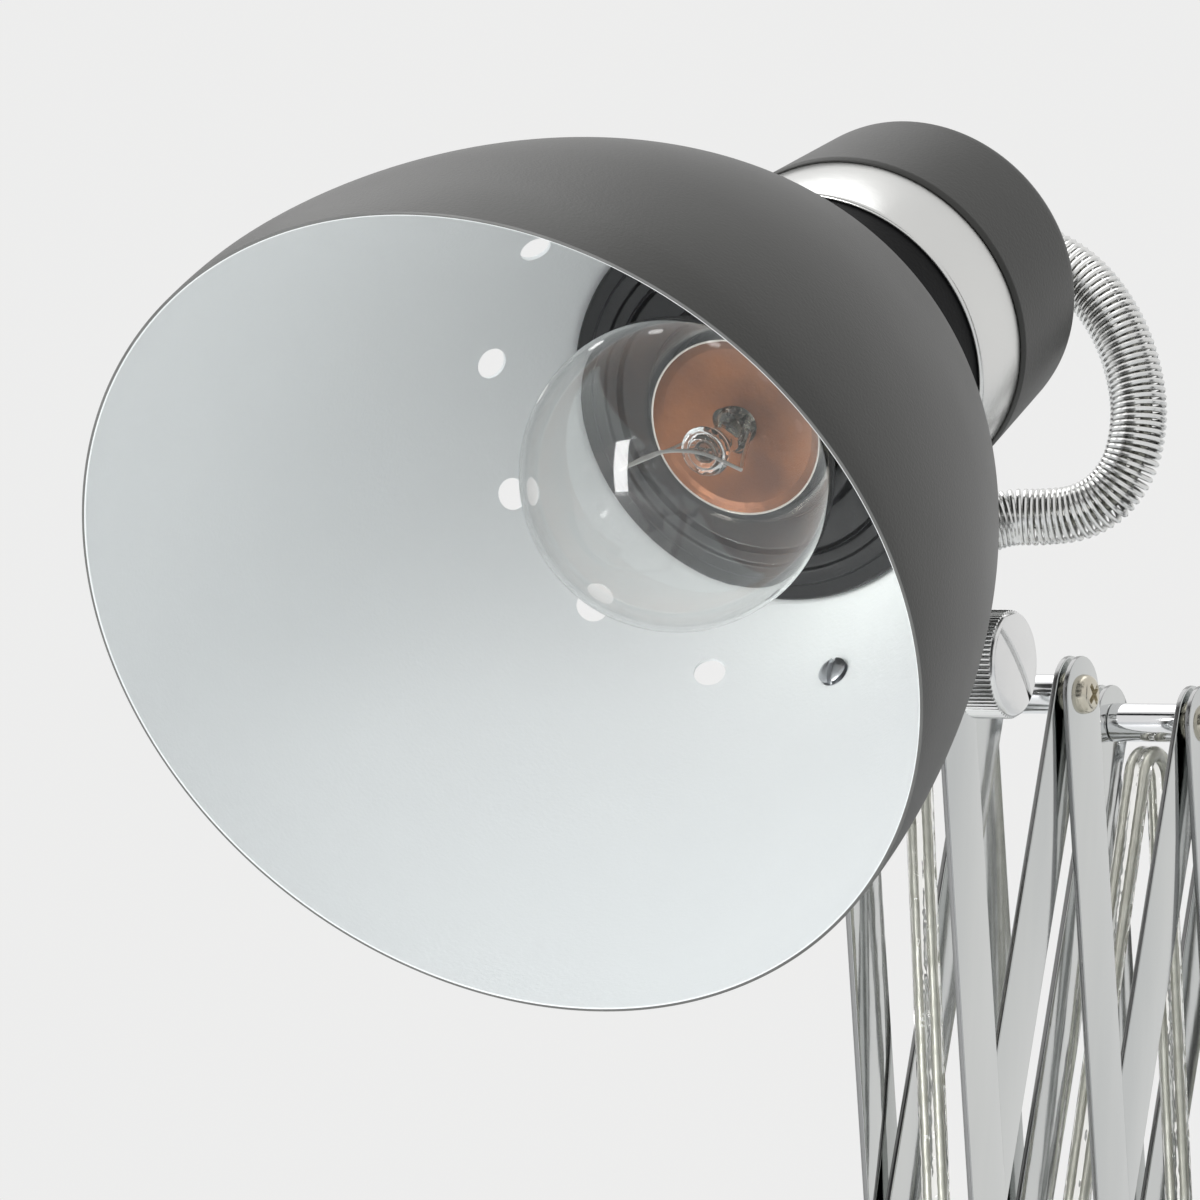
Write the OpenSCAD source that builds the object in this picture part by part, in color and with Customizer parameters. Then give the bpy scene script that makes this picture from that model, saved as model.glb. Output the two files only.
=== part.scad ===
// Accordion desk lamp: a domed shade on a lattice arm of crossed bars, held to a desk by a clamp.
// Millimetres. Origin: desk top under the upper jaw, on the column's axis. +Z up, arm towards -Y.

/* [Arm] */
// Distance between the two end pivots of a bar
bar_length = 236; // [200:1:280]
// Width of a bar
bar_width = 15.4; // [12:0.1:17]
// Thickness of a bar
bar_thickness = 1.2; // [0.8:0.1:1.6]
// Room between an inner and an outer bar
bar_gap = 1.2; // [0.8:0.1:1.6]
// Distance between the two inner bars of a pair
inside_width = 16.8; // [14:0.2:20]
// Angle of the bars from the vertical, as stored
fold_angle = 15; // [8:0.5:40]
// Height of the top row of pivots over the desk
arm_height = 300; // [290:1:330]
// Distance from the column's axis to the rear pivots
arm_setback = 26; // [25:0.5:30]
// Outer diameter of the cross tubes
tube_diameter = 8; // [7:0.1:9]

/* [Fasteners] */
// Diameter of the pivot screws' plain shoulder
shoulder_diameter = 5; // [4.5:0.1:5.6]
// Diameter of the pivot screws' thread
thread_diameter = 4; // [3:0.1:4.2]
// Diameter of the pivot screws' head
screw_head_diameter = 8; // [7:0.1:9]
// Height of the pivot screws' head
screw_head_height = 2.4; // [2:0.1:3]
// Diameter of the washers between the bars
washer_diameter = 9.6; // [9.2:0.1:11]
// Diameter of the thumb screw's knurled head
thumb_diameter = 21.4; // [16:0.2:23]
// Length of the thumb screw's knurled head
thumb_length = 9.5; // [7:0.5:12]

/* [Shade] */
// Widest radius of the shade, at the mouth
shade_radius = 84.2; // [80:0.2:88]
// Distance from the neck to the shade's widest place
shade_depth = 116; // [112:1:124]
// Length that sets how fast the dome closes towards the neck
dome_length = 142.5; // [140:0.5:150]
// Power that sets how round the dome's shoulder is
dome_power = 1.65; // [1.6:0.01:1.75]
// Thickness of the spun sheet
shade_wall = 0.8; // [0.6:0.1:1.2]
// Angle between the mouth and a square cut
mouth_slant = 9.5; // [5:0.5:12]
// Tilt of the neck's axis below the level
neck_tilt = 26; // [20:0.5:32]
// Radius of the short collar spun on the shade's neck
lip_radius = 37.2; // [36:0.1:37.6]
// Number of places round the ring of air holes, one of which takes the fixing screw
vent_count = 12; // [8:1:14]
// Diameter of an air hole
vent_diameter = 6.3; // [5:0.1:8]
// Place of the ring of air holes in front of the neck
vent_place = 9.8; // [9:0.1:14]

/* [Neck] */
// Radius of the chromed collar
collar_radius = 34; // [33.4:0.1:34.4]
// Place of the collar's front edge behind the neck's datum
collar_front = 30.7; // [24:0.1:34]
// Place of the cap's front edge behind the neck's datum
cap_front = 49.4; // [44:0.1:54]
// Place of the cap's flat back behind the neck's datum
cap_back = 83.1; // [78:0.1:90]
// Radius of the cap at its front edge
cap_radius = 34.7; // [34.5:0.1:35.4]
// Radius of the cap where its back starts to round
cap_back_radius = 31.6; // [30:0.1:33]
// Thickness of the cap's sheet
cap_wall = 0.9; // [0.6:0.1:1.2]
// Distance of the tilt pivot behind the neck's datum
pivot_behind = 45.3; // [42:0.1:50]
// Distance of the tilt pivot below the neck's axis
pivot_below = 68.4; // [66:0.1:74]

/* [Bulb] */
// Diameter of the bulb's globe
bulb_diameter = 60; // [56:0.5:61]
// Place of the globe's centre in front of the neck's datum
bulb_place = 36.6; // [34:0.1:38]
// Radius of the heat shield in the bulb's neck
shield_radius = 16.6; // [15:0.1:17]

/* [Conduit] */
// Outer diameter of the sprung conduit
conduit_diameter = 11.4; // [11:0.1:12]
// Diameter of its wire
conduit_wire = 1.1; // [0.8:0.1:1.2]

/* [Cord] */
// Width of the flat twin cord
cord_width = 6; // [5:0.1:6.4]
// Thickness of the flat twin cord
cord_thickness = 3.4; // [3:0.1:3.6]

/* [Bracket and clamp] */
// Thickness of the bracket's sheet
bracket_sheet = 2; // [1.5:0.1:2.4]
// Diameter of the column
column_diameter = 12; // [11:0.1:12.6]
// Height of the column's top
column_top = 338; // [336:1:345]
// Width of the clamp
clamp_width = 34; // [30:1:36]
// Reach of the clamp's upper jaw over the desk
jaw_reach = 44; // [40:1:55]
// Thickness of the jaws and of the spine
jaw_thickness = 10; // [8:0.5:12]
// Largest desk thickness that the frame takes
throat_height = 62; // [55:1:75]
// Diameter of the clamp screw
clamp_screw_diameter = 10; // [8:0.5:11]
// Gap between the pads as stored
clamp_gap = 27; // [24:0.5:30]
// Length of the sliding handle
handle_length = 60; // [50:1:70]

/* [Hidden] */

$fn = 64;
eps = 0.01;
running_fit = 0.05;
face_fit = 0.1;
clear = 0.4;

// Arm: pairs of crossed bars from the head (0) to the bracket (stages)
stages = 4;
bar_pitch = bar_length * sin(fold_angle);
inner_face = inside_width / 2;
inner_out = inner_face + bar_thickness;
outer_face = inner_out + bar_gap;
outer_out = outer_face + bar_thickness;
low_height = arm_height - bar_length * cos(fold_angle);
function top_pivot(k) = [0, -arm_setback - (stages - k) * bar_pitch, arm_height];
function low_pivot(k) = [0, -arm_setback - (stages - k) * bar_pitch, low_height];
shoulder_radius = shoulder_diameter / 2;
thread_radius = thread_diameter / 2;
thread_reach = 6;
rivet_radius = 2.4;
rivet_head = 4;
rivet_height = 1.2;
washer_thickness = bar_gap - face_fit;
cross_slot = 1;

// Bracket
cheek_face = outer_out + 1;
cheek_out = cheek_face + bracket_sheet;
web_front = -arm_setback + 14;
web_back = web_front + bracket_sheet;
bracket_low = 38;
bracket_high = arm_height + 28;
cheek_reach = 10;
cheek_waist = 6;
slot_low = arm_height - bar_length * cos(4);
slot_high = arm_height - bar_length * cos(43);
bush_radius = 3;
bush_fit = 0.1;
bush_flange = 6;
flange_thickness = 0.8;
lug_radius = 11.6;
lug_neck = 22;
web_holes = [arm_height - 70, slot_high + 60];
web_hole_radius = 5;

// Clamp
pad_thickness = 2;
jaw_top = pad_thickness + jaw_thickness;
spine_front = 14;
boss_radius = 12;
boss_height = bracket_low - face_fit;
column_foot = jaw_top - 6;
lower_jaw_top = -throat_height;
lower_jaw_low = lower_jaw_top - jaw_thickness;
screw_place = -22;
nut_boss_radius = 11;
nut_boss_height = 6;
shoe_radius = 13;
shoe_thickness = 6;
shoe_socket = 4;
screw_low = lower_jaw_low - nut_boss_height - 34;
handle_radius = 3;
handle_knob_radius = 4.5;
handle_place = screw_low + 8;
screw_end_radius = 8;

// Head, in the neck's frame: +Z towards the mouth, +Y up, the datum at the shade's neck
function dome(s) = shade_radius * sqrt(1 - pow(abs(shade_depth - s) / dome_length, dome_power));
function dome_slope(s) = atan(dome(s + 0.5) - dome(s - 0.5));
dome_back = -8;
lip_back = -13;
dome_front = shade_depth + 20;
dome_steps = 28;
vent_radius = dome(vent_place);
vent_slope = dome_slope(vent_place);
vent_pitch = 360 / vent_count;
screw_angle = vent_pitch / 2;
mouth_tool = 120;
ring_front = -2.4;
ring_back = -4.4;
ring_fit = 0.6;
ring_radius = dome(ring_back) - shade_wall / cos(dome_slope(ring_back)) - ring_fit;
holder_radius = 33;
holder_front = -5;
holder_back = 62;
socket_radius = 14.4;
socket_floor = 41;
bulb_radius = bulb_diameter / 2;
bulb_length = 105;
base_length = 27;
base_radius = 13.2;
glass_wall = 0.6;
base_front = bulb_place + bulb_radius - bulb_length + base_length;
base_back = base_front - base_length;
shield_place = 8;
stem_front = 25;
nipple_radius = 5;
nipple_bore = 3.8;
ferrule_radius = 7.2;
ferrule_length = 9;
ferrule_floor = 2;

// Strap from the tilt pivot to the shade, just outside the near outer bar
strap_face = outer_out + face_fit;
strap_thickness = 2;
strap_out = strap_face + strap_thickness;
strap_width = 13;
strap_tip = 8;
strap_tab = 13;
strap_tab_back = 13;
thumb_neck = 1.2;

// Cord in the arm: it passes from row to row over every second pivot
wrap_radius = tube_diameter / 2 + cord_thickness / 2 + face_fit;
wrap_lean = asin(2 * wrap_radius / bar_length);
wrap_angle = fold_angle - wrap_lean;
wrap_steps = 6;
cord_sides = 8;
function arc(centre, from, to) = [for (i = [0:wrap_steps])
    centre + wrap_radius * [0, cos(from + (to - from) * i / wrap_steps), sin(from + (to - from) * i / wrap_steps)]];
lead_line = web_front - 3.4;
clip_height = 62;
// The clip passes between the outer bars' lower ends when the arm is folded
clip_half = outer_face - 1;

// Route of the sprung conduit from the cap to the tilt pivot, from the tilt pivot
conduit_points = [
    [0, 17, 84.4], [3, 22, 85.6], [10, 26, 84.5], [18, 27.5, 81], [26, 28, 75.5], [33, 28, 68], [38, 28, 59.5],
    [40.5, 27.5, 50], [39.5, 26.5, 40.5], [35, 25.5, 33], [28, 24.5, 29], [20, 23, 27.5], [12.5, 20.5, 26.5],
    [6, 16, 24], [2, 10.5, 19.5], [0, 6.5, 14]
];
conduit_sides = 12;
// Angle round the tilt pivot's tube where the cord from the head meets the arm's first run
run_start = 25;
// Angle by which each run stops short of the next one's end
run_gap = 3;
conduit_ribs = 46;

// Route of the free cord: out of the clip, down to the desk, along it to the switch, the coil and the plug
lead_rest = cord_thickness / 2 + 0.1;
lead_points = [
    [0, -15.4, 58], [0, -15.4, 52], [0.6, -15.4, 45], [3, -15.4, 38], [7, -15.4, 32], [12, -15.4, 27], [20, -15.4, 21],
    [28, -15.4, 15.5], [36, -15.4, 10.5], [44, -15.4, 6.5], [53, -15.4, 4], [62, -15.4, 4], [70, -15.4, 4.5]
];
loop_points = [
    [128, -15.4, 4.5], [136, -17, 3], [144, -21, lead_rest], [151, -28, lead_rest], [156, -38, lead_rest],
    [158, -50, lead_rest], [158, -62, lead_rest], [158, -75, lead_rest]
];
tail_points = [
    [119, -115, 5.4], [108, -115.5, 5.4], [97, -116, 4], [86, -116, 4.5], [74.4, -116, 6.5]
];
coil_centre = [119, -76, 0];
coil_radius = 33;
coil_width = 18;
coil_height = 7.4;
coil_corner = 2;
switch_place = [99, -15.4, 0];
switch_size = [58, 24, 17];
switch_round = 6;
rocker_pivot = 8;
rocker_radius = 11;
rocker_width = 10;
rocker_lean = 8;
plug_place = [74, -116, 0];
plug_size = [36, 26, 13];
plug_pin_radius = 2;
plug_pin_length = 19;
plug_pin_spacing = 18.6;

module at_pivot(p) { translate(p) children(); }

module both_sides() {
    children();
    mirror([1, 0, 0]) children();
}

// A cylinder along X between two places, on the far or the near side
module rod(radius, from, to) {
    translate([from, 0, 0]) rotate([0, 90, 0]) cylinder(r = radius, h = to - from);
}

// Outline of a bar hanging from its top pivot, with the holes that its pivots need
module bar_outline(holes) {
    difference() {
        union() {
            circle(d = bar_width);
            translate([0, -bar_length]) circle(d = bar_width);
            translate([-bar_width / 2, -bar_length]) square([bar_width, bar_length]);
        }
        for (h = holes) translate([0, -h[0] * bar_length]) circle(r = h[1] + running_fit, $fn = 32);
    }
}

module bar(face, lean, holes) {
    translate([face, 0, 0]) rotate([90, 0, 90]) rotate(lean)
        linear_extrude(bar_thickness) bar_outline(holes);
}

// Inner bars lean forward from their top pivot; the rivet of the crossing turns in their middle hole
module inner_bars(k) {
    color("silver") at_pivot(top_pivot(k)) both_sides()
        bar(inner_face, -fold_angle, [[0, shoulder_radius], [0.5, rivet_radius], [1, shoulder_radius]]);
}

// Outer bars lean back from their top pivot and carry the rivet of the crossing
module outer_bars(k) {
    color("silver") {
        at_pivot(top_pivot(k)) both_sides()
            bar(outer_face, fold_angle, [[0, shoulder_radius], [1, shoulder_radius]]);
        at_pivot((top_pivot(k) + low_pivot(k + 1)) / 2) both_sides() {
            rod(rivet_radius, inner_face - face_fit - eps, outer_out + eps);
            rod(rivet_head, inner_face - face_fit - rivet_height, inner_face - face_fit);
            difference() {
                rod(rivet_head, outer_out, outer_out + rivet_height);
                translate([outer_out + rivet_height, 0, 0]) rotate([0, 90, 0]) rotate_extrude()
                    polygon([[rivet_head + 1, 1], [rivet_head + 1, -rivet_height], [rivet_head - 1.4, 1]]);
            }
            rod(shoulder_radius + 1, outer_face - washer_thickness, outer_face + eps);
        }
    }
}

// A cross tube between two bars, bored for the screws' threads
module cross_tube(half_length) {
    difference() {
        rod(tube_diameter / 2, -half_length, half_length);
        rod(thread_radius + running_fit, -half_length - 1, half_length + 1);
    }
}

module cross_tubes(k) {
    color("gainsboro") {
        at_pivot(top_pivot(k)) cross_tube(k == 0 ? outer_face : inner_face - face_fit);
        at_pivot(low_pivot(k + 1)) cross_tube(k == stages - 1 ? outer_face : inner_face - face_fit);
    }
}

// Pan head on the +X side with a cross recess, its shoulder through the bars and its thread in the tube
module pivot_screw(seat, shoulder_end) {
    difference() {
        union() {
            translate([seat, 0, 0]) rotate([0, 90, 0]) rotate_extrude() polygon(concat([[0, 0]],
                [for (a = [0:15:90]) [screw_head_diameter / 2 * pow(cos(a), 0.35), screw_head_height * sin(a)]]));
            rod(shoulder_radius, shoulder_end, seat + eps);
            rod(thread_radius, shoulder_end - thread_reach, shoulder_end + eps);
        }
        for (turn = [0, 90]) translate([seat + screw_head_height, 0, 0]) rotate([turn + 20, 0, 0])
            cube([2 * cross_slot, screw_head_diameter * 0.55, cross_slot], center = true);
    }
}

module pivot_washer() {
    difference() {
        rod(washer_diameter / 2, outer_face - washer_thickness, outer_face);
        rod(shoulder_radius + running_fit, inner_out, outer_out);
    }
}

module screw_and_washer() {
    pivot_screw(outer_out, inner_face - face_fit);
    pivot_washer();
}

module pivot_screws(k) {
    color("burlywood") {
        if (k == 0) at_pivot(top_pivot(0)) mirror([1, 0, 0]) pivot_screw(outer_out, outer_face);
        else at_pivot(top_pivot(k)) both_sides() screw_and_washer();
        if (k == stages - 1) at_pivot(low_pivot(stages)) both_sides()
            pivot_screw(cheek_out + clear + flange_thickness, outer_face);
        else at_pivot(low_pivot(k + 1)) both_sides() screw_and_washer();
    }
}

// The front foot of the lattice, where only the inner bars end
module front_tube() { color("gainsboro") at_pivot(low_pivot(0)) cross_tube(inner_face); }
module front_screws() {
    color("burlywood") at_pivot(low_pivot(0)) both_sides() pivot_screw(inner_out, inner_face);
}

// Flanged bushes that slide in the bracket's slots
module slide_bushes() {
    color("white") at_pivot(low_pivot(stages)) both_sides() difference() {
        union() {
            rod(bush_radius, outer_out, cheek_out + clear + eps);
            rod(bush_flange, cheek_out + clear, cheek_out + clear + flange_thickness);
        }
        rod(shoulder_radius + running_fit, outer_out - 1, cheek_out + 3);
    }
}

// Bracket: a folded channel with a slot in each cheek and two lugs that turn on the column
module cheek_outline() {
    front = -arm_setback - cheek_reach;
    waist = -arm_setback + cheek_waist;
    difference() {
        union() {
            translate([-arm_setback, arm_height]) circle(r = cheek_reach);
            polygon([
                [web_back, bracket_high], [-arm_setback, bracket_high], [-arm_setback - cheek_reach, arm_height],
                [waist, arm_height - 26], [waist, slot_high + 20], [front, slot_high + 4], [front, bracket_low + 14],
                [front + 10, bracket_low + 4], [web_back, bracket_low + 4]
            ]);
        }
        translate([-arm_setback, arm_height]) circle(r = shoulder_radius + running_fit, $fn = 32);
        for (z = [slot_low, slot_high]) translate([-arm_setback, z]) circle(r = bush_radius + bush_fit, $fn = 32);
        translate([-arm_setback - bush_radius - bush_fit, slot_low])
            square([2 * (bush_radius + bush_fit), slot_high - slot_low]);
    }
}

module lug(height) {
    translate([0, 0, height]) difference() {
        union() {
            cylinder(r = lug_radius, h = bracket_sheet);
            translate([-lug_neck / 2, web_front + 1, 0]) cube([lug_neck, -web_front - 1, bracket_sheet]);
        }
        translate([0, 0, -1]) cylinder(d = column_diameter + 2 * running_fit, h = bracket_sheet + 2);
    }
}

module bracket() {
    color("lightslategray") {
        both_sides() translate([cheek_face, 0, 0]) rotate([90, 0, 90]) linear_extrude(bracket_sheet) cheek_outline();
        difference() {
            translate([-cheek_face - 1, web_front, bracket_low])
                cube([2 * cheek_face + 2, bracket_sheet, bracket_high - bracket_low]);
            for (z = web_holes) translate([0, web_back + 1, z]) rotate([90, 0, 0])
                cylinder(r = web_hole_radius, h = bracket_sheet + 2);
        }
        lug(bracket_low);
        lug(bracket_high - bracket_sheet);
    }
}

module bracket_screws() {
    color("burlywood") at_pivot(top_pivot(stages)) both_sides() pivot_screw(cheek_out, inner_face - face_fit);
}
module bracket_spacers() {
    color("gainsboro") at_pivot(top_pivot(stages)) both_sides() difference() {
        rod(washer_diameter / 2, inner_out + face_fit, cheek_face);
        rod(shoulder_radius + running_fit, inner_out, cheek_out);
    }
}
module rear_tube() { color("gainsboro") at_pivot(top_pivot(stages)) cross_tube(inner_face - face_fit); }

// Clip on the web that grips the cord where it leaves the bracket
module cord_clip() {
    grip = cord_width / 2 + face_fit;
    color("black") translate([0, lead_line, clip_height]) difference() {
        translate([-clip_half, -4, -4]) cube([2 * clip_half, web_front - lead_line + 4, 8]);
        translate([0, 0, -5]) cylinder(r = grip, h = 10);
    }
}

// Clamp frame: a C-shaped casting with a boss for the column and a threaded boss for the screw
module clamp_frame() {
    color("dimgray") difference() {
        union() {
            translate([-clamp_width / 2, 0, 0]) rotate([90, 0, 90]) linear_extrude(clamp_width) difference() {
                union() {
                    polygon([
                        [-jaw_reach, pad_thickness], [spine_front, pad_thickness], [spine_front, lower_jaw_top],
                        [-jaw_reach + 10, lower_jaw_top], [-jaw_reach + 10, lower_jaw_low + 3],
                        [-jaw_reach + 14, lower_jaw_low], [spine_front + 4, lower_jaw_low],
                        [spine_front + jaw_thickness, lower_jaw_low + 6], [spine_front + jaw_thickness, jaw_top - 6],
                        [spine_front + 4, jaw_top], [-jaw_reach + 6, jaw_top], [-jaw_reach, jaw_top - 4]
                    ]);
                    translate([spine_front - 4, pad_thickness - 4]) square(4);
                    translate([spine_front - 4, lower_jaw_top]) square(4);
                }
                translate([spine_front - 4, pad_thickness - 4]) circle(r = 4, $fn = 32);
                translate([spine_front - 4, lower_jaw_top + 4]) circle(r = 4, $fn = 32);
            }
            translate([0, 0, jaw_top - 1]) cylinder(r = boss_radius, h = boss_height - jaw_top + 1);
            translate([0, screw_place, lower_jaw_low - nut_boss_height])
                cylinder(r = nut_boss_radius, h = nut_boss_height + jaw_thickness);
        }
        translate([0, 0, column_foot]) cylinder(d = column_diameter + 2 * running_fit, h = boss_height);
        translate([0, screw_place, lower_jaw_low - nut_boss_height - 1])
            cylinder(d = clamp_screw_diameter + 2 * running_fit, h = nut_boss_height + jaw_thickness + 2);
    }
}

module jaw_pad() {
    color("black") translate([-clamp_width / 2 + 1, -jaw_reach + 1, 0])
        cube([clamp_width - 2, jaw_reach + spine_front - 6, pad_thickness]);
}

module column() {
    color("silver") {
        translate([0, 0, column_foot]) cylinder(d = column_diameter, h = column_top - column_foot - 1);
        translate([0, 0, column_top - 1]) cylinder(d1 = column_diameter, d2 = column_diameter - 2, h = 1);
    }
}

// Cap pushed on the column's top, which keeps the bracket on it
module column_cap() {
    color("black") difference() {
        translate([0, 0, bracket_high + face_fit]) rotate_extrude() polygon([
            [0, 0], [9.5, 0], [10, 0.5], [10, 9], [9.4, 11.5], [8, 13], [5.5, 14], [0, 14.4]
        ]);
        cylinder(d = column_diameter + 2 * running_fit, h = column_top + face_fit);
    }
}

// Shoe that swivels on the clamp screw's ball end and presses on the desk from below
module pressure_pad() {
    color("black") translate([0, screw_place, -clamp_gap]) difference() {
        union() {
            translate([0, 0, -2]) cylinder(r = shoe_radius, h = 2);
            translate([0, 0, -shoe_thickness]) cylinder(r1 = shoe_radius - 5, r2 = shoe_radius, h = shoe_thickness - 2);
        }
        translate([0, 0, -shoe_thickness - 1])
            cylinder(r = clamp_screw_diameter / 2 - 1 + running_fit, h = shoe_socket + 1);
    }
}

module clamp_screw() {
    color("silver") difference() {
        translate([0, screw_place, 0]) union() {
            translate([0, 0, -clamp_gap - shoe_thickness - eps])
                cylinder(r = clamp_screw_diameter / 2 - 1, h = shoe_socket - face_fit);
            translate([0, 0, screw_low]) cylinder(d = clamp_screw_diameter,
                h = -clamp_gap - shoe_thickness - face_fit - screw_low);
            translate([0, 0, screw_low]) cylinder(r = screw_end_radius, h = 16);
        }
        translate([0, screw_place, handle_place]) rotate([0, 90, 0])
            cylinder(r = handle_radius + running_fit, h = 40, center = true);
    }
}

module clamp_handle() {
    color("silver") translate([0, screw_place, handle_place]) both_sides() {
        rod(handle_radius, -eps, handle_length / 2);
        rod(handle_knob_radius, handle_length / 2 - 4, handle_length / 2);
    }
}

// The neck's frame, with the tilt pivot of the head at its place below and behind the datum
module neck_frame() {
    translate(top_pivot(0)) rotate([90 + neck_tilt, 0, 0]) translate([0, pivot_below, pivot_behind]) children();
}

// A place on the ring of air holes: +Z out of the wall, +X back along the dome
module on_ring(angle) {
    rotate([0, 0, angle - 90]) translate([vent_radius, 0, vent_place]) rotate([0, 90 + vent_slope, 0]) children();
}

module shade() {
    outside = [for (i = [0:dome_steps]) let (s = dome_back + (dome_front - dome_back) * i / dome_steps) [dome(s), s]];
    inside = [for (i = [dome_steps:-1:0]) let (s = dome_back + (dome_front - dome_back) * i / dome_steps)
        [dome(s) - shade_wall / cos(dome_slope(s)), s]];
    color("dimgray") neck_frame() difference() {
        rotate_extrude($fn = 96) polygon(concat([[lip_radius - shade_wall, lip_back], [lip_radius, lip_back],
            [lip_radius, dome_back - shade_wall]], outside, inside));
        translate([0, 0, shade_depth]) rotate([mouth_slant, 0, 0])
            translate([-mouth_tool, -mouth_tool, 0]) cube(2 * mouth_tool);
        for (i = [0:vent_count - 1]) on_ring(screw_angle + i * vent_pitch) translate([0, 0, -4])
            cylinder(r = i == 0 ? thread_radius - 0.5 + running_fit : vent_diameter / 2, h = 8, $fn = 32);
    }
}

// Black skirt that is screwed on the lampholder from inside and holds the shade
module shade_ring() {
    color("black") neck_frame() rotate_extrude() polygon([
        [socket_radius + 5, ring_back], [ring_radius - 0.6, ring_back], [ring_radius, ring_back + 0.6],
        [ring_radius, ring_front - 0.6], [ring_radius - 0.6, ring_front], [ring_radius - 6, ring_front],
        [ring_radius - 7, ring_front + 2], [ring_radius - 9, ring_front + 2], [ring_radius - 10, ring_front],
        [socket_radius + 9, ring_front], [socket_radius + 8, ring_front + 4], [socket_radius + 5, ring_front + 4]
    ]);
}

// Lampholder: a moulded body with the screw socket open to the front
module lampholder() {
    color("black") neck_frame() difference() {
        rotate_extrude() polygon([
            [0, -holder_back], [holder_radius - 3, -holder_back], [holder_radius - 1, -holder_back + 2],
            [holder_radius - 1, -cap_front], [holder_radius, -cap_front + 1], [holder_radius, holder_front - 6],
            [holder_radius - 1, holder_front], [socket_radius + 4, holder_front], [socket_radius, holder_front - 4],
            [socket_radius, -socket_floor], [0, -socket_floor]
        ]);
        translate([0, 0, -holder_back - 1]) cylinder(r = nipple_radius + running_fit, h = 13);
        translate([0, 0, -holder_back]) cylinder(r = 2, h = 60);
    }
}

module collar() {
    color("gainsboro") neck_frame() rotate_extrude() polygon([
        [holder_radius + running_fit, -cap_front - 4], [collar_radius - 0.7, -cap_front - 4],
        [collar_radius - 0.7, -cap_front - face_fit], [collar_radius, -cap_front + face_fit],
        [collar_radius, -collar_front - 0.6], [collar_radius - 0.5, -collar_front],
        [holder_radius + running_fit, -collar_front]
    ]);
}

// Cap: a deep drawn cup over the collar's rear edge
module cap() {
    rear_round = 5;
    straight_back = cap_back - rear_round;
    color("dimgray") neck_frame() rotate_extrude() polygon(concat(
        [[cap_radius - cap_wall + 0.3, -cap_front], [cap_radius, -cap_front], [cap_back_radius, -straight_back]],
        [for (a = [15:15:90]) [cap_back_radius - rear_round * (1 - cos(a)), -straight_back - rear_round * sin(a)]],
        [[nipple_radius + running_fit, -cap_back], [nipple_radius + running_fit, -cap_back + cap_wall]],
        [for (a = [90:-15:15]) [cap_back_radius - rear_round + (rear_round - cap_wall) * cos(a),
            -straight_back - (rear_round - cap_wall) * sin(a)]],
        [[cap_back_radius - cap_wall, -straight_back]]
    ));
}

module nipple() {
    color("goldenrod") neck_frame() translate([0, 0, -cap_back - ferrule_length + ferrule_floor + 2]) difference() {
        cylinder(r = nipple_radius, h = cap_back - holder_back + ferrule_length - ferrule_floor - 2 + 11);
        translate([0, 0, -1]) cylinder(r = nipple_bore, h = 60);
    }
}

// Chromed end cup of the conduit, screwed on the nipple
module ferrule() {
    color("gainsboro") neck_frame() translate([0, 0, -cap_back - ferrule_length]) difference() {
        union() {
            cylinder(r = ferrule_radius, h = ferrule_length - 1);
            translate([0, 0, ferrule_length - 4]) cylinder(r = ferrule_radius + 1.6, h = 4 - face_fit);
        }
        translate([0, 0, -1]) cylinder(r = conduit_diameter / 2 + face_fit, h = 6);
        translate([0, 0, -1]) cylinder(r = nipple_radius + running_fit, h = ferrule_length + 2);
    }
}

module strap_plate() {
    end = [-(vent_radius - 2.1) * cos(screw_angle), vent_place - 10.6];
    pivot = [-pivot_below, -pivot_behind];
    run = norm(end - pivot);
    lean = atan2(end[1] - pivot[1], end[0] - pivot[0]);
    translate([strap_face, pivot[0], pivot[1]]) rotate([90, 0, 90]) rotate(lean) linear_extrude(strap_thickness)
        difference() {
            union() {
                circle(d = strap_width + 3);
                polygon([[0, -strap_width / 2], [run, -strap_tip / 2], [run, strap_tip / 2], [0, strap_width / 2]]);
                translate([run, 0]) circle(d = strap_tip);
            }
            circle(r = shoulder_radius + running_fit, $fn = 32);
        }
}

// Strap from the thumb screw to the shade, its front end folded over against the dome
module head_strap() {
    color("silver") neck_frame() difference() {
        union() {
            difference() {
                strap_plate();
                rotate_extrude($fn = 96) polygon(concat([[0, lip_back], [lip_radius + face_fit, lip_back]],
                    [for (i = [0:dome_steps]) let (s = dome_back + (dome_front - dome_back) * i / dome_steps)
                        [dome(s) + face_fit, s]], [[0, dome_front]]));
            }
            on_ring(screw_angle) translate([-strap_tab / 2, -strap_tab / 2, face_fit])
                cube([strap_tab / 2 + strap_tab_back, strap_tab, 1.6]);
        }
        on_ring(screw_angle) cylinder(r = thread_radius - 0.5 + running_fit, h = 6, $fn = 32);
    }
}

module strap_screw() {
    shank = thread_radius - 0.5;
    color("gainsboro") neck_frame() on_ring(screw_angle) {
        difference() {
            union() {
                translate([0, 0, -shade_wall - 2.2]) cylinder(r1 = 2.4, r2 = 3.1, h = 1);
                translate([0, 0, -shade_wall - 1.2]) cylinder(r = 3.1, h = 1);
                translate([0, 0, -shade_wall - 1]) cylinder(r = shank, h = 7);
            }
            translate([0, 0, -shade_wall - 2.2]) cube([7, 0.9, 1.4], center = true);
        }
        difference() {
            translate([0, 0, 1.6 + face_fit]) cylinder(r = 3.6, h = 2.4, $fn = 6);
            cylinder(r = shank + running_fit, h = 8);
        }
    }
}

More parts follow.
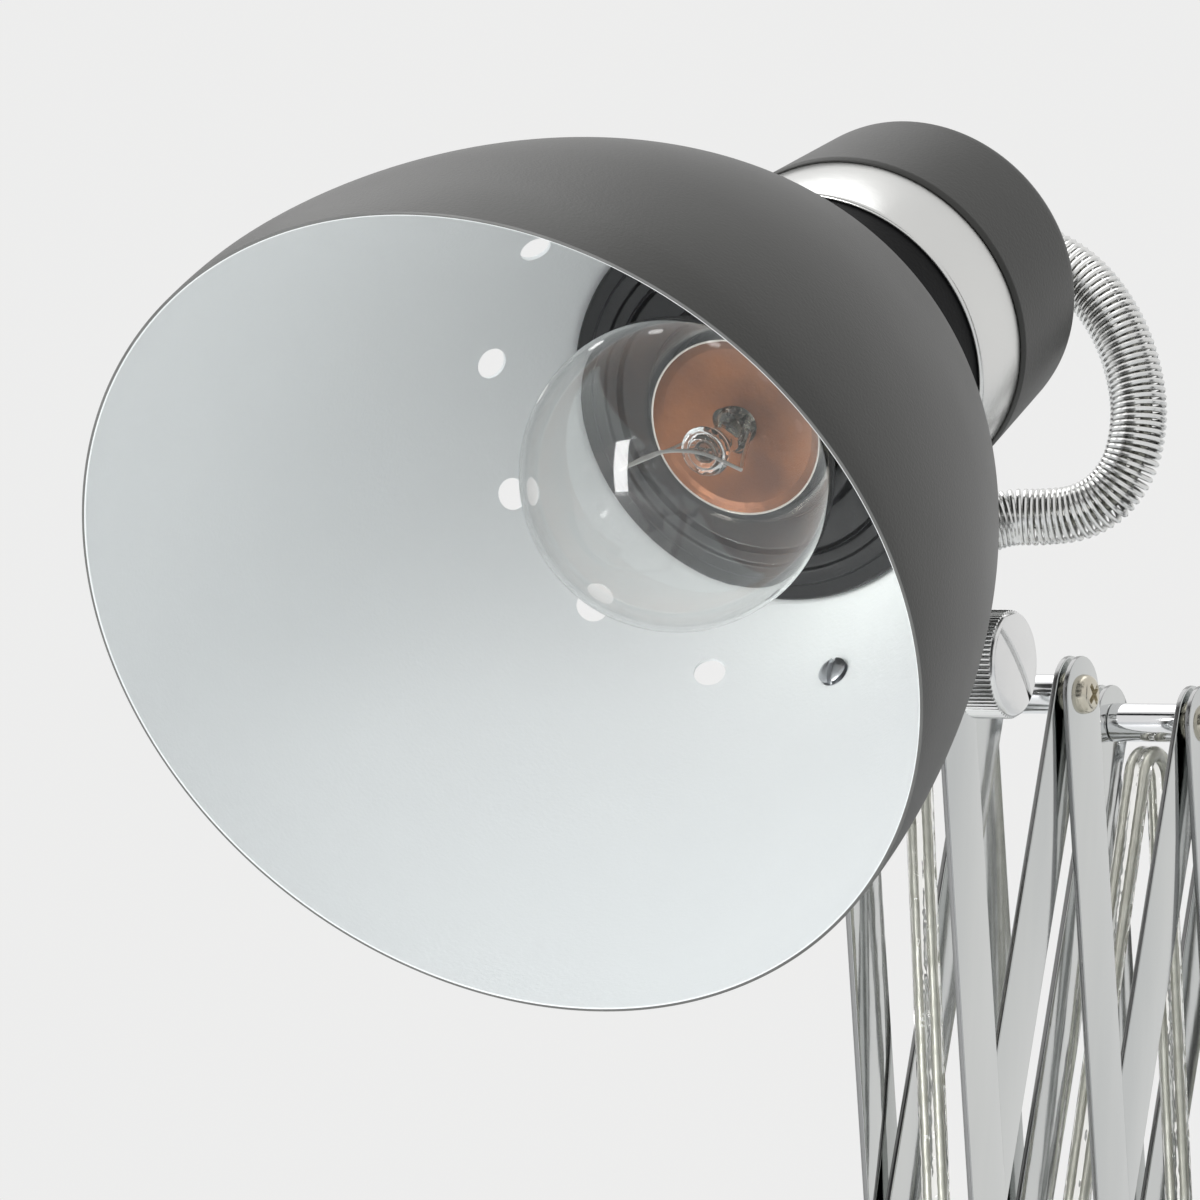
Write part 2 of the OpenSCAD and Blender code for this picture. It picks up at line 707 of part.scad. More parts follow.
// Knurled screw with a coin slot that clamps the strap on the outer bar
module thumb_screw() {
    teeth = 48;
    head = strap_out + thumb_neck;
    color("silver") at_pivot(top_pivot(0)) difference() {
        union() {
            translate([head, 0, 0]) rotate([90, 0, 90]) linear_extrude(thumb_length) polygon([for (i = [0:2 * teeth - 1])
                (thumb_diameter / 2 - (i % 2) * 0.5) * [cos(i * 180 / teeth), sin(i * 180 / teeth)]]);
            translate([head + thumb_length - eps, 0, 0]) rotate([0, 90, 0])
                cylinder(r1 = thumb_diameter / 2 - 0.6, r2 = thumb_diameter / 2 - 3.2, h = 0.8);
            rod(5, strap_out + face_fit, head + eps);
            rod(shoulder_radius, outer_face + face_fit, head + eps);
            rod(thread_radius, outer_face - 9, head + eps);
        }
        translate([head + thumb_length + 0.8, 0, 0]) rotate([-38, 0, 0]) cube([2.4, 2 * thumb_diameter, 1.6], center = true);
    }
}

// Bulb: a pear-shaped globe, its screw base, the glass stem, the heat shield and the filament
module bulb_glass() {
    neck = [[base_radius - 0.4, base_front], [14, base_front + 4], [16.2, base_front + 12], [19.4, base_front + 20]];
    function globe(r, from, step) = [for (a = [from:step:0]) [r * sin(a), bulb_place + r * cos(a)]];
    outside = concat(neck, globe(bulb_radius, 130, -10));
    inside = [for (i = [len(outside) - 2:-1:0]) let (p = outside[i])
        i < len(neck) ? [p[0] - glass_wall, p[1]] : inward(p)];
    color("white", 0.3) neck_frame() rotate_extrude() polygon(concat(outside,
        [[0, bulb_place + bulb_radius - glass_wall]], inside));
}
function inward(p) = let (q = p - [0, bulb_place]) [0, bulb_place] + q * (1 - glass_wall / norm(q));

module bulb_base() {
    turns = 5;
    thread_pitch = 3.6;
    back = base_back + 5;
    color("gainsboro") neck_frame() rotate_extrude() polygon(concat(
        [[0, base_back + 2], [4.5, base_back + 2], [5, base_back + 3.4], [10.6, back]],
        [for (i = [0:2 * turns]) [base_radius - (i % 2 == 0 ? 0.9 : 0), back + 1 + i * thread_pitch / 2]],
        [[base_radius, base_front - eps], [0, base_front - eps]]
    ));
}

module bulb_stem() {
    color("white", 0.4) neck_frame() rotate_extrude() polygon([
        [0, base_front], [11, base_front], [8, base_front + 3], [4, base_front + 10], [3.8, shield_place - 0.6],
        [3.8, shield_place + 3], [2.4, shield_place + 6], [2.4, stem_front - 4], [3.4, stem_front - 2], [3.4, stem_front - 1], [2.4, stem_front],
        [0, stem_front]
    ]);
}

module heat_shield() {
    color("sienna") neck_frame() difference() {
        translate([0, 0, shield_place]) rotate_extrude() polygon([
            [4, 0], [shield_radius - 1.4, 0], [shield_radius, 0.9], [shield_radius - 0.3, 1.2],
            [shield_radius - 1.6, 0.4], [4, 0.4]
        ]);
        translate([0, 0, shield_place - 1]) cylinder(r = 4.1, h = 3);
    }
}

// Two lead wires and the zigzag filament between the supports
module filament() {
    reach = 13;
    color("darkgray") neck_frame() {
        for (side = [-1, 1]) hull() {
            translate([side * 4.3, 0, shield_place + 1.5]) sphere(r = 0.4, $fn = 8);
            translate([side * reach, 0, stem_front + 10]) sphere(r = 0.4, $fn = 8);
        }
        hull() {
            translate([-reach, 0, stem_front + 10]) sphere(r = 0.4, $fn = 8);
            translate([0, 5, stem_front + 9]) sphere(r = 0.4, $fn = 8);
        }
        hull() {
            translate([reach, 0, stem_front + 10]) sphere(r = 0.4, $fn = 8);
            translate([0, 5, stem_front + 9]) sphere(r = 0.4, $fn = 8);
        }
    }
}

// Sweeps an oval section along points; each point has its own direction of the wide side
function unit(v) = v / norm(v);
function along(points, i) = unit(points[min(i + 1, len(points) - 1)] - points[max(i - 1, 0)]);
module sweep(points, wide, half_width, half_thickness, sides) {
    count = len(points);
    ring = [for (i = [0:count - 1]) let (t = along(points, i), n = unit(cross(t, wide[i])), w = cross(n, t))
        for (j = [0:sides - 1]) let (a = 360 * (j + 0.5) / sides)
            points[i] + half_width[i] * cos(a) * w + half_thickness[i] * sin(a) * n];
    polyhedron(ring, concat(
        [[for (j = [0:sides - 1]) j], [for (j = [sides - 1:-1:0]) (count - 1) * sides + j]],
        [for (i = [0:count - 2]) for (j = [0:sides - 1]) let (k = (j + 1) % sides)
            [i * sides + k, i * sides + j, (i + 1) * sides + j]],
        [for (i = [0:count - 2]) for (j = [0:sides - 1]) let (k = (j + 1) % sides)
            [i * sides + k, (i + 1) * sides + j, (i + 1) * sides + k]]
    ));
}
function repeat(value, points) = [for (p = points) value];
function level(points) = [for (i = [0:len(points) - 1]) unit(cross([0, 0, 1], along(points, i)))];
module cord(points, wide) {
    color("khaki") sweep(points, wide, repeat(cord_width / 2, points), repeat(cord_thickness / 2, points), cord_sides);
}

// Smooth curve through the conduit's points
function blend(p, i, t) = let (a = p[max(i - 1, 0)], b = p[i], c = p[min(i + 1, len(p) - 1)],
    d = p[min(i + 2, len(p) - 1)])
    0.5 * (2 * b + (c - a) * t + (2 * a - 5 * b + 4 * c - d) * t * t + (3 * b - a - 3 * c + d) * t * t * t);
function curve(p, steps) = [for (i = [0:steps]) let (u = i * (len(p) - 1) / steps, k = min(floor(u), len(p) - 2))
    top_pivot(0) + blend(p, k, u - k)];

// The conduit's outside swells at each turn of its wire, and its bore is open for the cord
module conduit() {
    route = curve(conduit_points, 2 * conduit_ribs);
    outer = [for (i = [0:len(route) - 1]) conduit_diameter / 2 - (i % 2) * conduit_wire / 2];
    color("gainsboro") difference() {
        sweep(route, repeat([0.6, -0.8, 0.1], route), outer, outer, conduit_sides);
        conduit_bore();
    }
}
module conduit_bore() {
    ends = curve(conduit_points, conduit_ribs);
    count = len(ends);
    route = concat([2 * ends[0] - ends[1]], ends, [2 * ends[count - 1] - ends[count - 2]]);
    radius = repeat(conduit_diameter / 2 - conduit_wire - 0.3, route);
    sweep(route, repeat([0.6, -0.8, 0.1], route), radius, radius, cord_sides);
}

// Cord inside the conduit, from the nipple's bore to the tilt pivot's tube
module cord_head() {
    neck_dir = [0, cos(neck_tilt), sin(neck_tilt)];
    seat = top_pivot(0) + wrap_radius * [0, cos(run_start), sin(run_start)];
    route = concat([top_pivot(0) + conduit_points[0] - 3 * neck_dir], curve(conduit_points, 20),
        [seat + 4 * [0, -sin(run_start), cos(run_start)], seat + face_fit * [0, -sin(run_start), cos(run_start)]]);
    cord_inside = repeat(cord_width / 2, route);
    color("khaki") sweep(route, repeat([0.95, -0.1, -0.3], route), cord_inside, repeat(cord_thickness / 2, route),
        cord_sides);
}

// Runs of the cord: 0 and 2 ride on outer bars, 1 and 3 on inner bars
module outer_run(k, start) {
    route = concat(arc(top_pivot(k), start, wrap_angle), arc(low_pivot(k + 1), 180 + wrap_angle, 270 - run_gap));
    cord(route, repeat([1, 0, 0], route));
}
module inner_run(k) {
    route = concat(arc(top_pivot(k), 90 + run_gap, 180 - wrap_angle),
        arc(low_pivot(k - 1), -wrap_angle, run_gap - 90));
    cord(route, repeat([1, 0, 0], route));
}
module cord_bracket() {
    over = arc(top_pivot(stages), 90 - run_gap, -8);
    drop = [for (share = [0.168, 0.378, 0.588, 0.798, 0.916, 1.0155])
        [0, lead_line, arm_height - share * (arm_height - clip_height)]];
    twist = concat(repeat(0, over), [0, 20, 45, 70, 90, 90]);
    cord(concat(over, drop), [for (a = twist) [cos(a), sin(a), 0]]);
}

module cord_lead() {
    cord(lead_points, repeat([0, 1, 0], lead_points));
    cord(loop_points, level(loop_points));
}
module cord_coil() {
    color("khaki") translate(coil_centre) rotate_extrude() polygon([
        [coil_radius - coil_width / 2, coil_corner], [coil_radius - coil_width / 2 + coil_corner, 0],
        [coil_radius + coil_width / 2 - coil_corner, 0], [coil_radius + coil_width / 2, coil_corner],
        [coil_radius + coil_width / 2, coil_height - coil_corner],
        [coil_radius + coil_width / 2 - coil_corner, coil_height],
        [coil_radius - coil_width / 2 + coil_corner, coil_height], [coil_radius - coil_width / 2, coil_height - coil_corner]
    ]);
}
module cord_tail() { cord(tail_points, level(tail_points)); }

// Switch on the cord: a two-part shell with round ends and a rocker that tips in its window
module switch_outline(grow) {
    straight = switch_size[0] / 2 - switch_size[1] / 2;
    for (side = [-1, 1]) translate([side * straight, 0]) circle(d = switch_size[1] + 2 * grow);
    translate([-straight, -switch_size[1] / 2 - grow]) square([2 * straight, switch_size[1] + 2 * grow]);
}
module switch_shell() {
    wall = 2;
    color("white", 0.7) translate(switch_place) difference() {
        union() {
            linear_extrude(switch_size[2] - 2) switch_outline(0);
            linear_extrude(switch_size[2]) switch_outline(-1.5);
        }
        translate([0, 0, wall]) linear_extrude(switch_size[2] - 2 * wall) switch_outline(-wall);
        translate([-rocker_radius - face_fit, -rocker_width / 2 - clear, wall])
            cube([2 * rocker_radius + 2 * face_fit, rocker_width + 2 * clear, switch_size[2]]);
        translate([-switch_size[0], -cord_width / 2 - face_fit, 2.4])
            cube([2 * switch_size[0], cord_width + 2 * face_fit, cord_thickness + 2]);
    }
}
module switch_rocker() {
    color("white") translate(switch_place + [0, 0, rocker_pivot]) rotate([0, -rocker_lean, 0]) difference() {
        rotate([90, 0, 0]) cylinder(r = rocker_radius - clear, h = rocker_width, center = true);
        for (side = [-1, 1]) rotate([0, side * rocker_lean, 0])
            translate([side > 0 ? 0 : -20, -rocker_width, rocker_radius - 1.6]) cube([20, 2 * rocker_width, 20]);
        translate([-20, -rocker_width, -20]) cube([40, 2 * rocker_width, 20 - 2]);
    }
}

// Flat two-pin plug with a waist for the fingers
module plug() {
    half = plug_size[1] / 2;
    color("white", 0.8) translate(plug_place) difference() {
        union() {
            linear_extrude(plug_size[2]) polygon([
                [0, -4], [-6, -5], [-14, -9], [-22, half * -0.8], [-plug_size[0], -half], [-plug_size[0], half],
                [-22, half * 0.8], [-14, 9], [-6, 5], [0, 4]
            ]);
            for (side = [-1, 1]) translate([-plug_size[0] - plug_pin_length, side * plug_pin_spacing / 2, plug_size[2] / 2])
                rotate([0, 90, 0]) cylinder(r = plug_pin_radius, h = plug_pin_length + 1);
        }
        for (side = [0, 1]) translate([-12, -12, side * plug_size[2]]) rotate([-90, 0, 0])
            cylinder(r = 2.4, h = 24);
    }
}

clamp_frame();
jaw_pad();
column();
column_cap();
pressure_pad();
clamp_screw();
clamp_handle();
bracket();
bracket_screws();
bracket_spacers();
rear_tube();
cord_clip();
cord_bracket();
inner_bars(1);  // inner_bars_1
inner_bars(2);  // inner_bars_2
inner_bars(3);  // inner_bars_3
inner_bars(4);  // inner_bars_4
outer_bars(0);  // outer_bars_0
outer_bars(1);  // outer_bars_1
outer_bars(2);  // outer_bars_2
outer_bars(3);  // outer_bars_3
cross_tubes(0);  // cross_tubes_0
cross_tubes(1);  // cross_tubes_1
cross_tubes(2);  // cross_tubes_2
cross_tubes(3);  // cross_tubes_3
pivot_screws(0);  // pivot_screws_0
pivot_screws(1);  // pivot_screws_1
pivot_screws(2);  // pivot_screws_2
pivot_screws(3);  // pivot_screws_3
front_tube();
front_screws();
slide_bushes();
shade();
shade_ring();
lampholder();
collar();
cap();
nipple();
ferrule();
conduit();
cord_head();
bulb_glass();
bulb_base();
bulb_stem();
heat_shield();
filament();
head_strap();
strap_screw();
thumb_screw();
outer_run(0, run_start);  // cord_run_0
inner_run(2);  // cord_run_1
outer_run(2, 90 - run_gap);  // cord_run_2
inner_run(4);  // cord_run_3
cord_lead();
cord_coil();
cord_tail();
switch_shell();
switch_rocker();
plug();
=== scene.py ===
import math

import bmesh
import bpy
import numpy as np
from mathutils import Matrix, Vector


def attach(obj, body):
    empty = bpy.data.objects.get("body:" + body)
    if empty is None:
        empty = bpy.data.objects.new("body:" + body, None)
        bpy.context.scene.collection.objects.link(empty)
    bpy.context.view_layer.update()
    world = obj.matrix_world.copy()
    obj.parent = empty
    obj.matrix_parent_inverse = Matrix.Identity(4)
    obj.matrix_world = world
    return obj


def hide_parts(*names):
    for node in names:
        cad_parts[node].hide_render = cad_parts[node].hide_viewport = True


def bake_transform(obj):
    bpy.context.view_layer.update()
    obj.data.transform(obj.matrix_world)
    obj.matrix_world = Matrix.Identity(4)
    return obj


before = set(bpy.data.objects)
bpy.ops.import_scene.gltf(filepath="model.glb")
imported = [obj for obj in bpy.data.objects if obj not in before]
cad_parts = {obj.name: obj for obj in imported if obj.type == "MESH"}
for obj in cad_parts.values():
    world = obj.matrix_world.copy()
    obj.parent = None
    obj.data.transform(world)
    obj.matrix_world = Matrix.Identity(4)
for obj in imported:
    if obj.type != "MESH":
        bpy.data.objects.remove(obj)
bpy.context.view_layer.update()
scene = bpy.context.scene
scene.view_settings.view_transform = "Standard"

# ---------------------------------------------------------------- Studio
# A pale display: a desk board whose rear edge the clamp grips, a block under it and the floor.
# They carry the lamp and its cord and catch their shadows, and they aren't part of the lamp.


def box_between(low, high):
    """The six sides of a box between two corners, each side a quad that faces outwards."""
    low, high = np.asarray(low, float), np.asarray(high, float)
    corner = np.array([[x, y, z] for x in (0, 1) for y in (0, 1) for z in (0, 1)])
    sides = [[0, 1, 3, 2], [4, 6, 7, 5], [0, 4, 5, 1], [2, 3, 7, 6], [0, 2, 6, 4], [1, 5, 7, 3]]
    return low + corner * (high - low), np.array(sides)


def mesh_object(name, parts, smooth_angle=35.0):
    """One mesh object from (points in millimetres, quads[, material number or numbers]) parts, as whole
    arrays. Points that meet at seams and poles become one, faces are turned outwards, and edges sharper than
    the angle stay sharp while the rest is shaded smooth."""
    points = np.concatenate([np.reshape(p[0], (-1, 3)) for p in parts]) * 0.001
    starts = np.cumsum([0] + [np.reshape(p[0], (-1, 3)).shape[0] for p in parts[:-1]])
    quads = np.concatenate([np.asarray(p[1]) + s for p, s in zip(parts, starts)])
    kinds = np.concatenate([np.full(len(p[1]), p[2] if len(p) > 2 else 0) for p in parts])
    mesh = bpy.data.meshes.new(name)
    mesh.vertices.add(len(points))
    mesh.vertices.foreach_set("co", points.astype(np.float32).ravel())
    mesh.loops.add(quads.size)
    mesh.loops.foreach_set("vertex_index", quads.astype(np.int32).ravel())
    mesh.polygons.add(len(quads))
    mesh.polygons.foreach_set("loop_start", np.arange(0, quads.size, 4, dtype=np.int32))
    mesh.polygons.foreach_set("material_index", kinds.astype(np.int32))
    mesh.update(calc_edges=True)
    work = bmesh.new()
    work.from_mesh(mesh)
    bmesh.ops.remove_doubles(work, verts=work.verts, dist=2e-6)
    bmesh.ops.dissolve_degenerate(work, edges=work.edges, dist=1e-7)
    bmesh.ops.recalc_face_normals(work, faces=work.faces)
    work.to_mesh(mesh)
    work.free()
    mesh.polygons.foreach_set("use_smooth", np.ones(len(mesh.polygons), bool))
    mesh.set_sharp_from_angle(angle=math.radians(smooth_angle))
    thing = bpy.data.objects.new(name, mesh)
    scene.collection.objects.link(thing)
    return thing


def plain(name, color, roughness=0.8, metallic=0.0, **sockets):
    """A material with one Principled surface; the sockets that stay the same all over are set on it."""
    made = bpy.data.materials.new(name)
    made.use_nodes = True
    shader = made.node_tree.nodes["Principled BSDF"]
    shader.inputs["Base Color"].default_value = (*color, 1.0)
    shader.inputs["Roughness"].default_value = roughness
    shader.inputs["Metallic"].default_value = metallic
    for socket, value in sockets.items():
        shader.inputs[socket.replace("_", " ")].default_value = value
    return made, made.node_tree.nodes, made.node_tree.links, shader


pale_board = plain("pale_board", (0.78, 0.78, 0.77), 0.6)[0]
pale_floor = plain("pale_floor", (0.80, 0.80, 0.80), 0.9)[0]
for name, low, high, paint in (
    ("desk_board", (-420, -620, -26.4), (420, 13.5, 0), pale_board),
    ("desk_block", (-300, -560, -125), (300, -110, -26.5), pale_board),
    ("floor", (-6000, -6000, -135), (6000, 6000, -125), pale_floor),
):
    stage_piece = mesh_object(name, [box_between(low, high)])
    stage_piece.data.materials.append(paint)

# The camera stands where the photograph was taken from: 2.2 m from the shade's mouth, 26.7 degrees to one
# side of the arm and a little below the head. Its axes come from a fit to the mouth's ellipse, the ring of
# holes and the arm.
camera_data = bpy.data.cameras.new("camera")
camera_data.lens = 360.0
camera_data.sensor_width = 36.0
camera_data.clip_end = 60.0
camera = bpy.data.objects.new("camera", camera_data)
scene.collection.objects.link(camera)
camera_right = (0.89467071, 0.44380685, 0.05098819)
camera_up = (-0.00481447, -0.10455177, 0.99450779)
camera_back = (0.44670028, -0.89000248, -0.09140271)
camera_place = (1.00153768, -2.39910073, 0.09358978)
camera.matrix_world = Matrix((
    (camera_right[0], camera_up[0], camera_back[0], camera_place[0]),
    (camera_right[1], camera_up[1], camera_back[1], camera_place[1]),
    (camera_right[2], camera_up[2], camera_back[2], camera_place[2]),
    (0.0, 0.0, 0.0, 1.0),
))
scene.camera = camera

# Soft studio light: a pale world that metal and glass show as it is, and two softboxes. One in front lights
# the shade's inside and glints in the bulb; one up on the left gives the dome and the cap their sheen.
world = bpy.data.worlds.new("studio")
scene.world = world
world.use_nodes = True
sky, wires = world.node_tree.nodes, world.node_tree.links
sky.clear()
seen = sky.new("ShaderNodeBackground")
seen.inputs["Color"].default_value = (0.850, 0.850, 0.847, 1.0)
lighting = sky.new("ShaderNodeBackground")
lighting.inputs["Color"].default_value = (0.96, 0.985, 1.0, 1.0)
lighting.inputs["Strength"].default_value = 0.88
rays = sky.new("ShaderNodeLightPath")
either = sky.new("ShaderNodeMath")
either.operation = "MAXIMUM"
any_of_three = sky.new("ShaderNodeMath")
any_of_three.operation = "MAXIMUM"
chosen = sky.new("ShaderNodeMixShader")
shown = sky.new("ShaderNodeOutputWorld")
wires.new(rays.outputs["Is Camera Ray"], either.inputs[0])
wires.new(rays.outputs["Is Glossy Ray"], either.inputs[1])
wires.new(either.outputs[0], any_of_three.inputs[0])
wires.new(rays.outputs["Is Transmission Ray"], any_of_three.inputs[1])
wires.new(any_of_three.outputs[0], chosen.inputs[0])
wires.new(lighting.outputs[0], chosen.inputs[1])
wires.new(seen.outputs[0], chosen.inputs[2])
wires.new(chosen.outputs[0], shown.inputs[0])


LIT_POINT = np.array([0.0, -0.25, 0.26])


def softbox(name, azimuth, elevation, distance, width, height, power):
    """An oblong soft lamp turned towards the head, at an azimuth (0 in front of the arm's end) round it."""
    a, e = math.radians(azimuth), math.radians(elevation)
    towards = np.array([math.sin(a) * math.cos(e), -math.cos(a) * math.cos(e), math.sin(e)])
    lamp_data = bpy.data.lights.new(name, "AREA")
    lamp_data.shape = "RECTANGLE"
    lamp_data.size, lamp_data.size_y = width, height
    lamp_data.energy = power
    lamp = bpy.data.objects.new(name, lamp_data)
    scene.collection.objects.link(lamp)
    aim = Vector(towards).to_track_quat("Z", "Y").to_matrix().to_4x4()
    aim.translation = Vector(LIT_POINT + towards * distance)
    lamp.matrix_world = aim


softbox("softbox_front", -14, 0, 1.5, 0.25, 1.0, 9)
softbox("softbox_top", -105, 62, 1.6, 1.6, 1.6, 11)

# Black studio flags, which only polished metal shows, give the chrome its dark lines.
FLAG_CENTRE, FLAG_DISTANCE = np.array([0.0, -0.22, 0.22]), 1.35
flag_black = plain("flag_black", (0.012, 0.012, 0.013), 1.0)[0]
for name, azimuth, elevation, wide, high in (
    ("flag_low_front", -10, -38, 1.7, 0.42), ("flag_high_front", -10, 46, 1.9, 0.30),
    ("flag_right", 92, 4, 0.34, 1.6), ("flag_rear_left", -112, 2, 0.5, 1.4),
    ("flag_rear_right", 140, -18, 0.7, 0.5),
):
    a, e = math.radians(azimuth), math.radians(elevation)
    away = np.array([math.sin(a) * math.cos(e), -math.cos(a) * math.cos(e), math.sin(e)])
    across = np.array([math.cos(a), math.sin(a), 0.0])
    upwards = np.cross(away, across) * -1
    middle = FLAG_CENTRE + away * FLAG_DISTANCE
    corners = np.array([middle + i * wide / 2 * across + j * high / 2 * upwards
                        for i, j in ((-1, -1), (1, -1), (1, 1), (-1, 1))]) * 1000
    flag = mesh_object(name, [(corners, np.array([[0, 1, 2, 3]]))])
    flag.data.materials.append(flag_black)
    for kind in ("camera", "diffuse", "transmission", "shadow", "volume_scatter"):
        setattr(flag, "visible_" + kind, False)

# ---------------------------------------------------------------- Clamp and column
# A grey-iron casting with a rubber pad, a turned screw with a sliding handle and a swivel shoe;
# a chromed 12 mm column stands in its boss under a pushed-on plastic cap.


def new_group(name, inputs, outputs):
    """An empty shader node group with named value, colour or vector sockets."""
    group = bpy.data.node_groups.new(name, "ShaderNodeTree")
    for socket, kind, value in inputs:
        made = group.interface.new_socket(socket, in_out="INPUT", socket_type=kind)
        made.default_value = value
    for socket, kind in outputs:
        group.interface.new_socket(socket, in_out="OUTPUT", socket_type=kind)
    return group, group.nodes.new("NodeGroupInput"), group.nodes.new("NodeGroupOutput")


def grain_group():
    """Object coordinates, stretched, through a fine and a coarse noise: Fine and Blotch run from 0 to 1."""
    group, takes, gives = new_group(
        "surface_grain",
        (("Fine Scale", "NodeSocketFloat", 900.0), ("Blotch Scale", "NodeSocketFloat", 30.0),
         ("Stretch", "NodeSocketVector", (1.0, 1.0, 1.0)), ("Contrast", "NodeSocketFloat", 0.5)),
        (("Fine", "NodeSocketFloat"), ("Blotch", "NodeSocketFloat")))
    nodes, links = group.nodes, group.links
    place = nodes.new("ShaderNodeTexCoord")
    stretched = nodes.new("ShaderNodeVectorMath")
    stretched.operation = "MULTIPLY"
    links.new(place.outputs["Object"], stretched.inputs[0])
    links.new(takes.outputs["Stretch"], stretched.inputs[1])
    for scale, detail, output in (("Fine Scale", 3.0, "Fine"), ("Blotch Scale", 4.0, "Blotch")):
        noise = nodes.new("ShaderNodeTexNoise")
        noise.inputs["Detail"].default_value = detail
        links.new(stretched.outputs[0], noise.inputs["Vector"])
        links.new(takes.outputs[scale], noise.inputs["Scale"])
        lifted = nodes.new("ShaderNodeMapRange")
        links.new(noise.outputs["Fac"], lifted.inputs["Value"])
        low = nodes.new("ShaderNodeMath")
        low.operation = "MULTIPLY_ADD"
        low.inputs[1].default_value = -0.5
        low.inputs[2].default_value = 0.5
        links.new(takes.outputs["Contrast"], low.inputs[0])
        span_low = nodes.new("ShaderNodeMath")
        span_low.operation = "SUBTRACT"
        span_low.inputs[0].default_value = 0.5
        links.new(low.outputs[0], span_low.inputs[1])
        links.new(span_low.outputs[0], lifted.inputs["From Min"])
        span_high = nodes.new("ShaderNodeMath")
        span_high.operation = "ADD"
        span_high.inputs[0].default_value = 0.5
        links.new(low.outputs[0], span_high.inputs[1])
        links.new(span_high.outputs[0], lifted.inputs["From Max"])
        links.new(lifted.outputs["Result"], gives.inputs[output])
    return group


surface_grain = grain_group()


def finish(name, light, dark, rough, fine=900.0, blotch=30.0, stretch=(1, 1, 1), contrast=0.5,
           height=0.0, metallic=0.0, **sockets):
    """A Principled surface: its colour runs between two close tones and its roughness between two values by
    the coarse noise, and the fine noise, as a height in metres, bumps it."""
    made, nodes, links, shader = plain(name, light, rough[0], metallic, **sockets)
    grain = nodes.new("ShaderNodeGroup")
    grain.node_tree = surface_grain
    grain.inputs["Fine Scale"].default_value = fine
    grain.inputs["Blotch Scale"].default_value = blotch
    grain.inputs["Stretch"].default_value = stretch
    grain.inputs["Contrast"].default_value = contrast
    tone = nodes.new("ShaderNodeMix")
    tone.data_type = "RGBA"
    tone.inputs["A"].default_value = (*light, 1.0)
    tone.inputs["B"].default_value = (*dark, 1.0)
    links.new(grain.outputs["Blotch"], tone.inputs["Factor"])
    links.new(tone.outputs["Result"], shader.inputs["Base Color"])
    spread = nodes.new("ShaderNodeMapRange")
    spread.inputs["To Min"].default_value = rough[0]
    spread.inputs["To Max"].default_value = rough[1]
    links.new(grain.outputs["Blotch"], spread.inputs["Value"])
    links.new(spread.outputs["Result"], shader.inputs["Roughness"])
    if height:
        bump = nodes.new("ShaderNodeBump")
        bump.inputs["Distance"].default_value = height
        links.new(grain.outputs["Fine"], bump.inputs["Height"])
        links.new(bump.outputs["Normal"], shader.inputs["Normal"])
    return made


def quads_of(rows, columns, close_rows=False, close_columns=True):
    """Quads between neighbours in a grid of rows by columns, whose last row or column joins the first if it
    closes."""
    r, c = np.meshgrid(np.arange(rows - (not close_rows)), np.arange(columns - (not close_columns)),
                       indexing="ij")
    r2, c2 = (r + 1) % rows, (c + 1) % columns
    corners = [r * columns + c, r * columns + c2, r2 * columns + c2, r2 * columns + c]
    return np.stack(corners, -1).reshape(-1, 4)


def rounded(corners, radius, steps=3):
    """A closed outline whose corners become short curves: each starts and ends at the radius from the corner,
    or at 45% of a shorter side, and bends as a parabola between. A corner on the axis (first value 0) stays
    sharp."""
    p = np.asarray(corners, float)
    radius = np.where(np.abs(p[:, :1]) < 1e-9, 0.0, np.reshape(radius * np.ones(len(p)), (-1, 1)))
    to_last, to_next = np.roll(p, 1, 0) - p, np.roll(p, -1, 0) - p
    start = p + to_last * np.minimum(radius / np.linalg.norm(to_last, axis=1, keepdims=True), 0.45)
    end = p + to_next * np.minimum(radius / np.linalg.norm(to_next, axis=1, keepdims=True), 0.45)
    t = np.linspace(0, 1, steps + 1)[None, :, None]
    bends = (1 - t) ** 2 * start[:, None] + 2 * t * (1 - t) * p[:, None] + t ** 2 * end[:, None]
    return bends.reshape(-1, 2)


def lathe(profile, turns=64, kind=0):
    """A closed profile of (radius, height) turned once round +Z: a pair and an angle a give
    (r cos a, r sin a, h)."""
    profile = np.asarray(profile, float)
    a = np.arange(turns) * 2 * np.pi / turns
    points = np.stack([profile[:, :1] * np.cos(a), profile[:, :1] * np.sin(a),
                       profile[:, 1:] + 0 * a], -1)
    return points.reshape(-1, 3), quads_of(len(profile), turns, close_rows=True), kind


def moved(part, place=(0, 0, 0), axes=None):
    """The part with its points given on other axes (rows: where +X, +Y and +Z go), then moved to a place."""
    points = part[0] if axes is None else part[0] @ np.asarray(axes, float)
    return (points + np.asarray(place, float), *part[1:])


# Axes that lay a part's +Z along X.
ALONG_X = ((0, 1, 0), (0, 0, 1), (1, 0, 0))


def dress(thing, body, slot, paints, *nodes):
    """Gives the piece its materials and its body, and hides the CAD nodes that it stands for. The slot is not
    used.
    """
    for paint in paints if isinstance(paints, (list, tuple)) else [paints]:
        thing.data.materials.append(paint)
    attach(thing, body)
    if nodes:
        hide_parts(*nodes)
    return thing


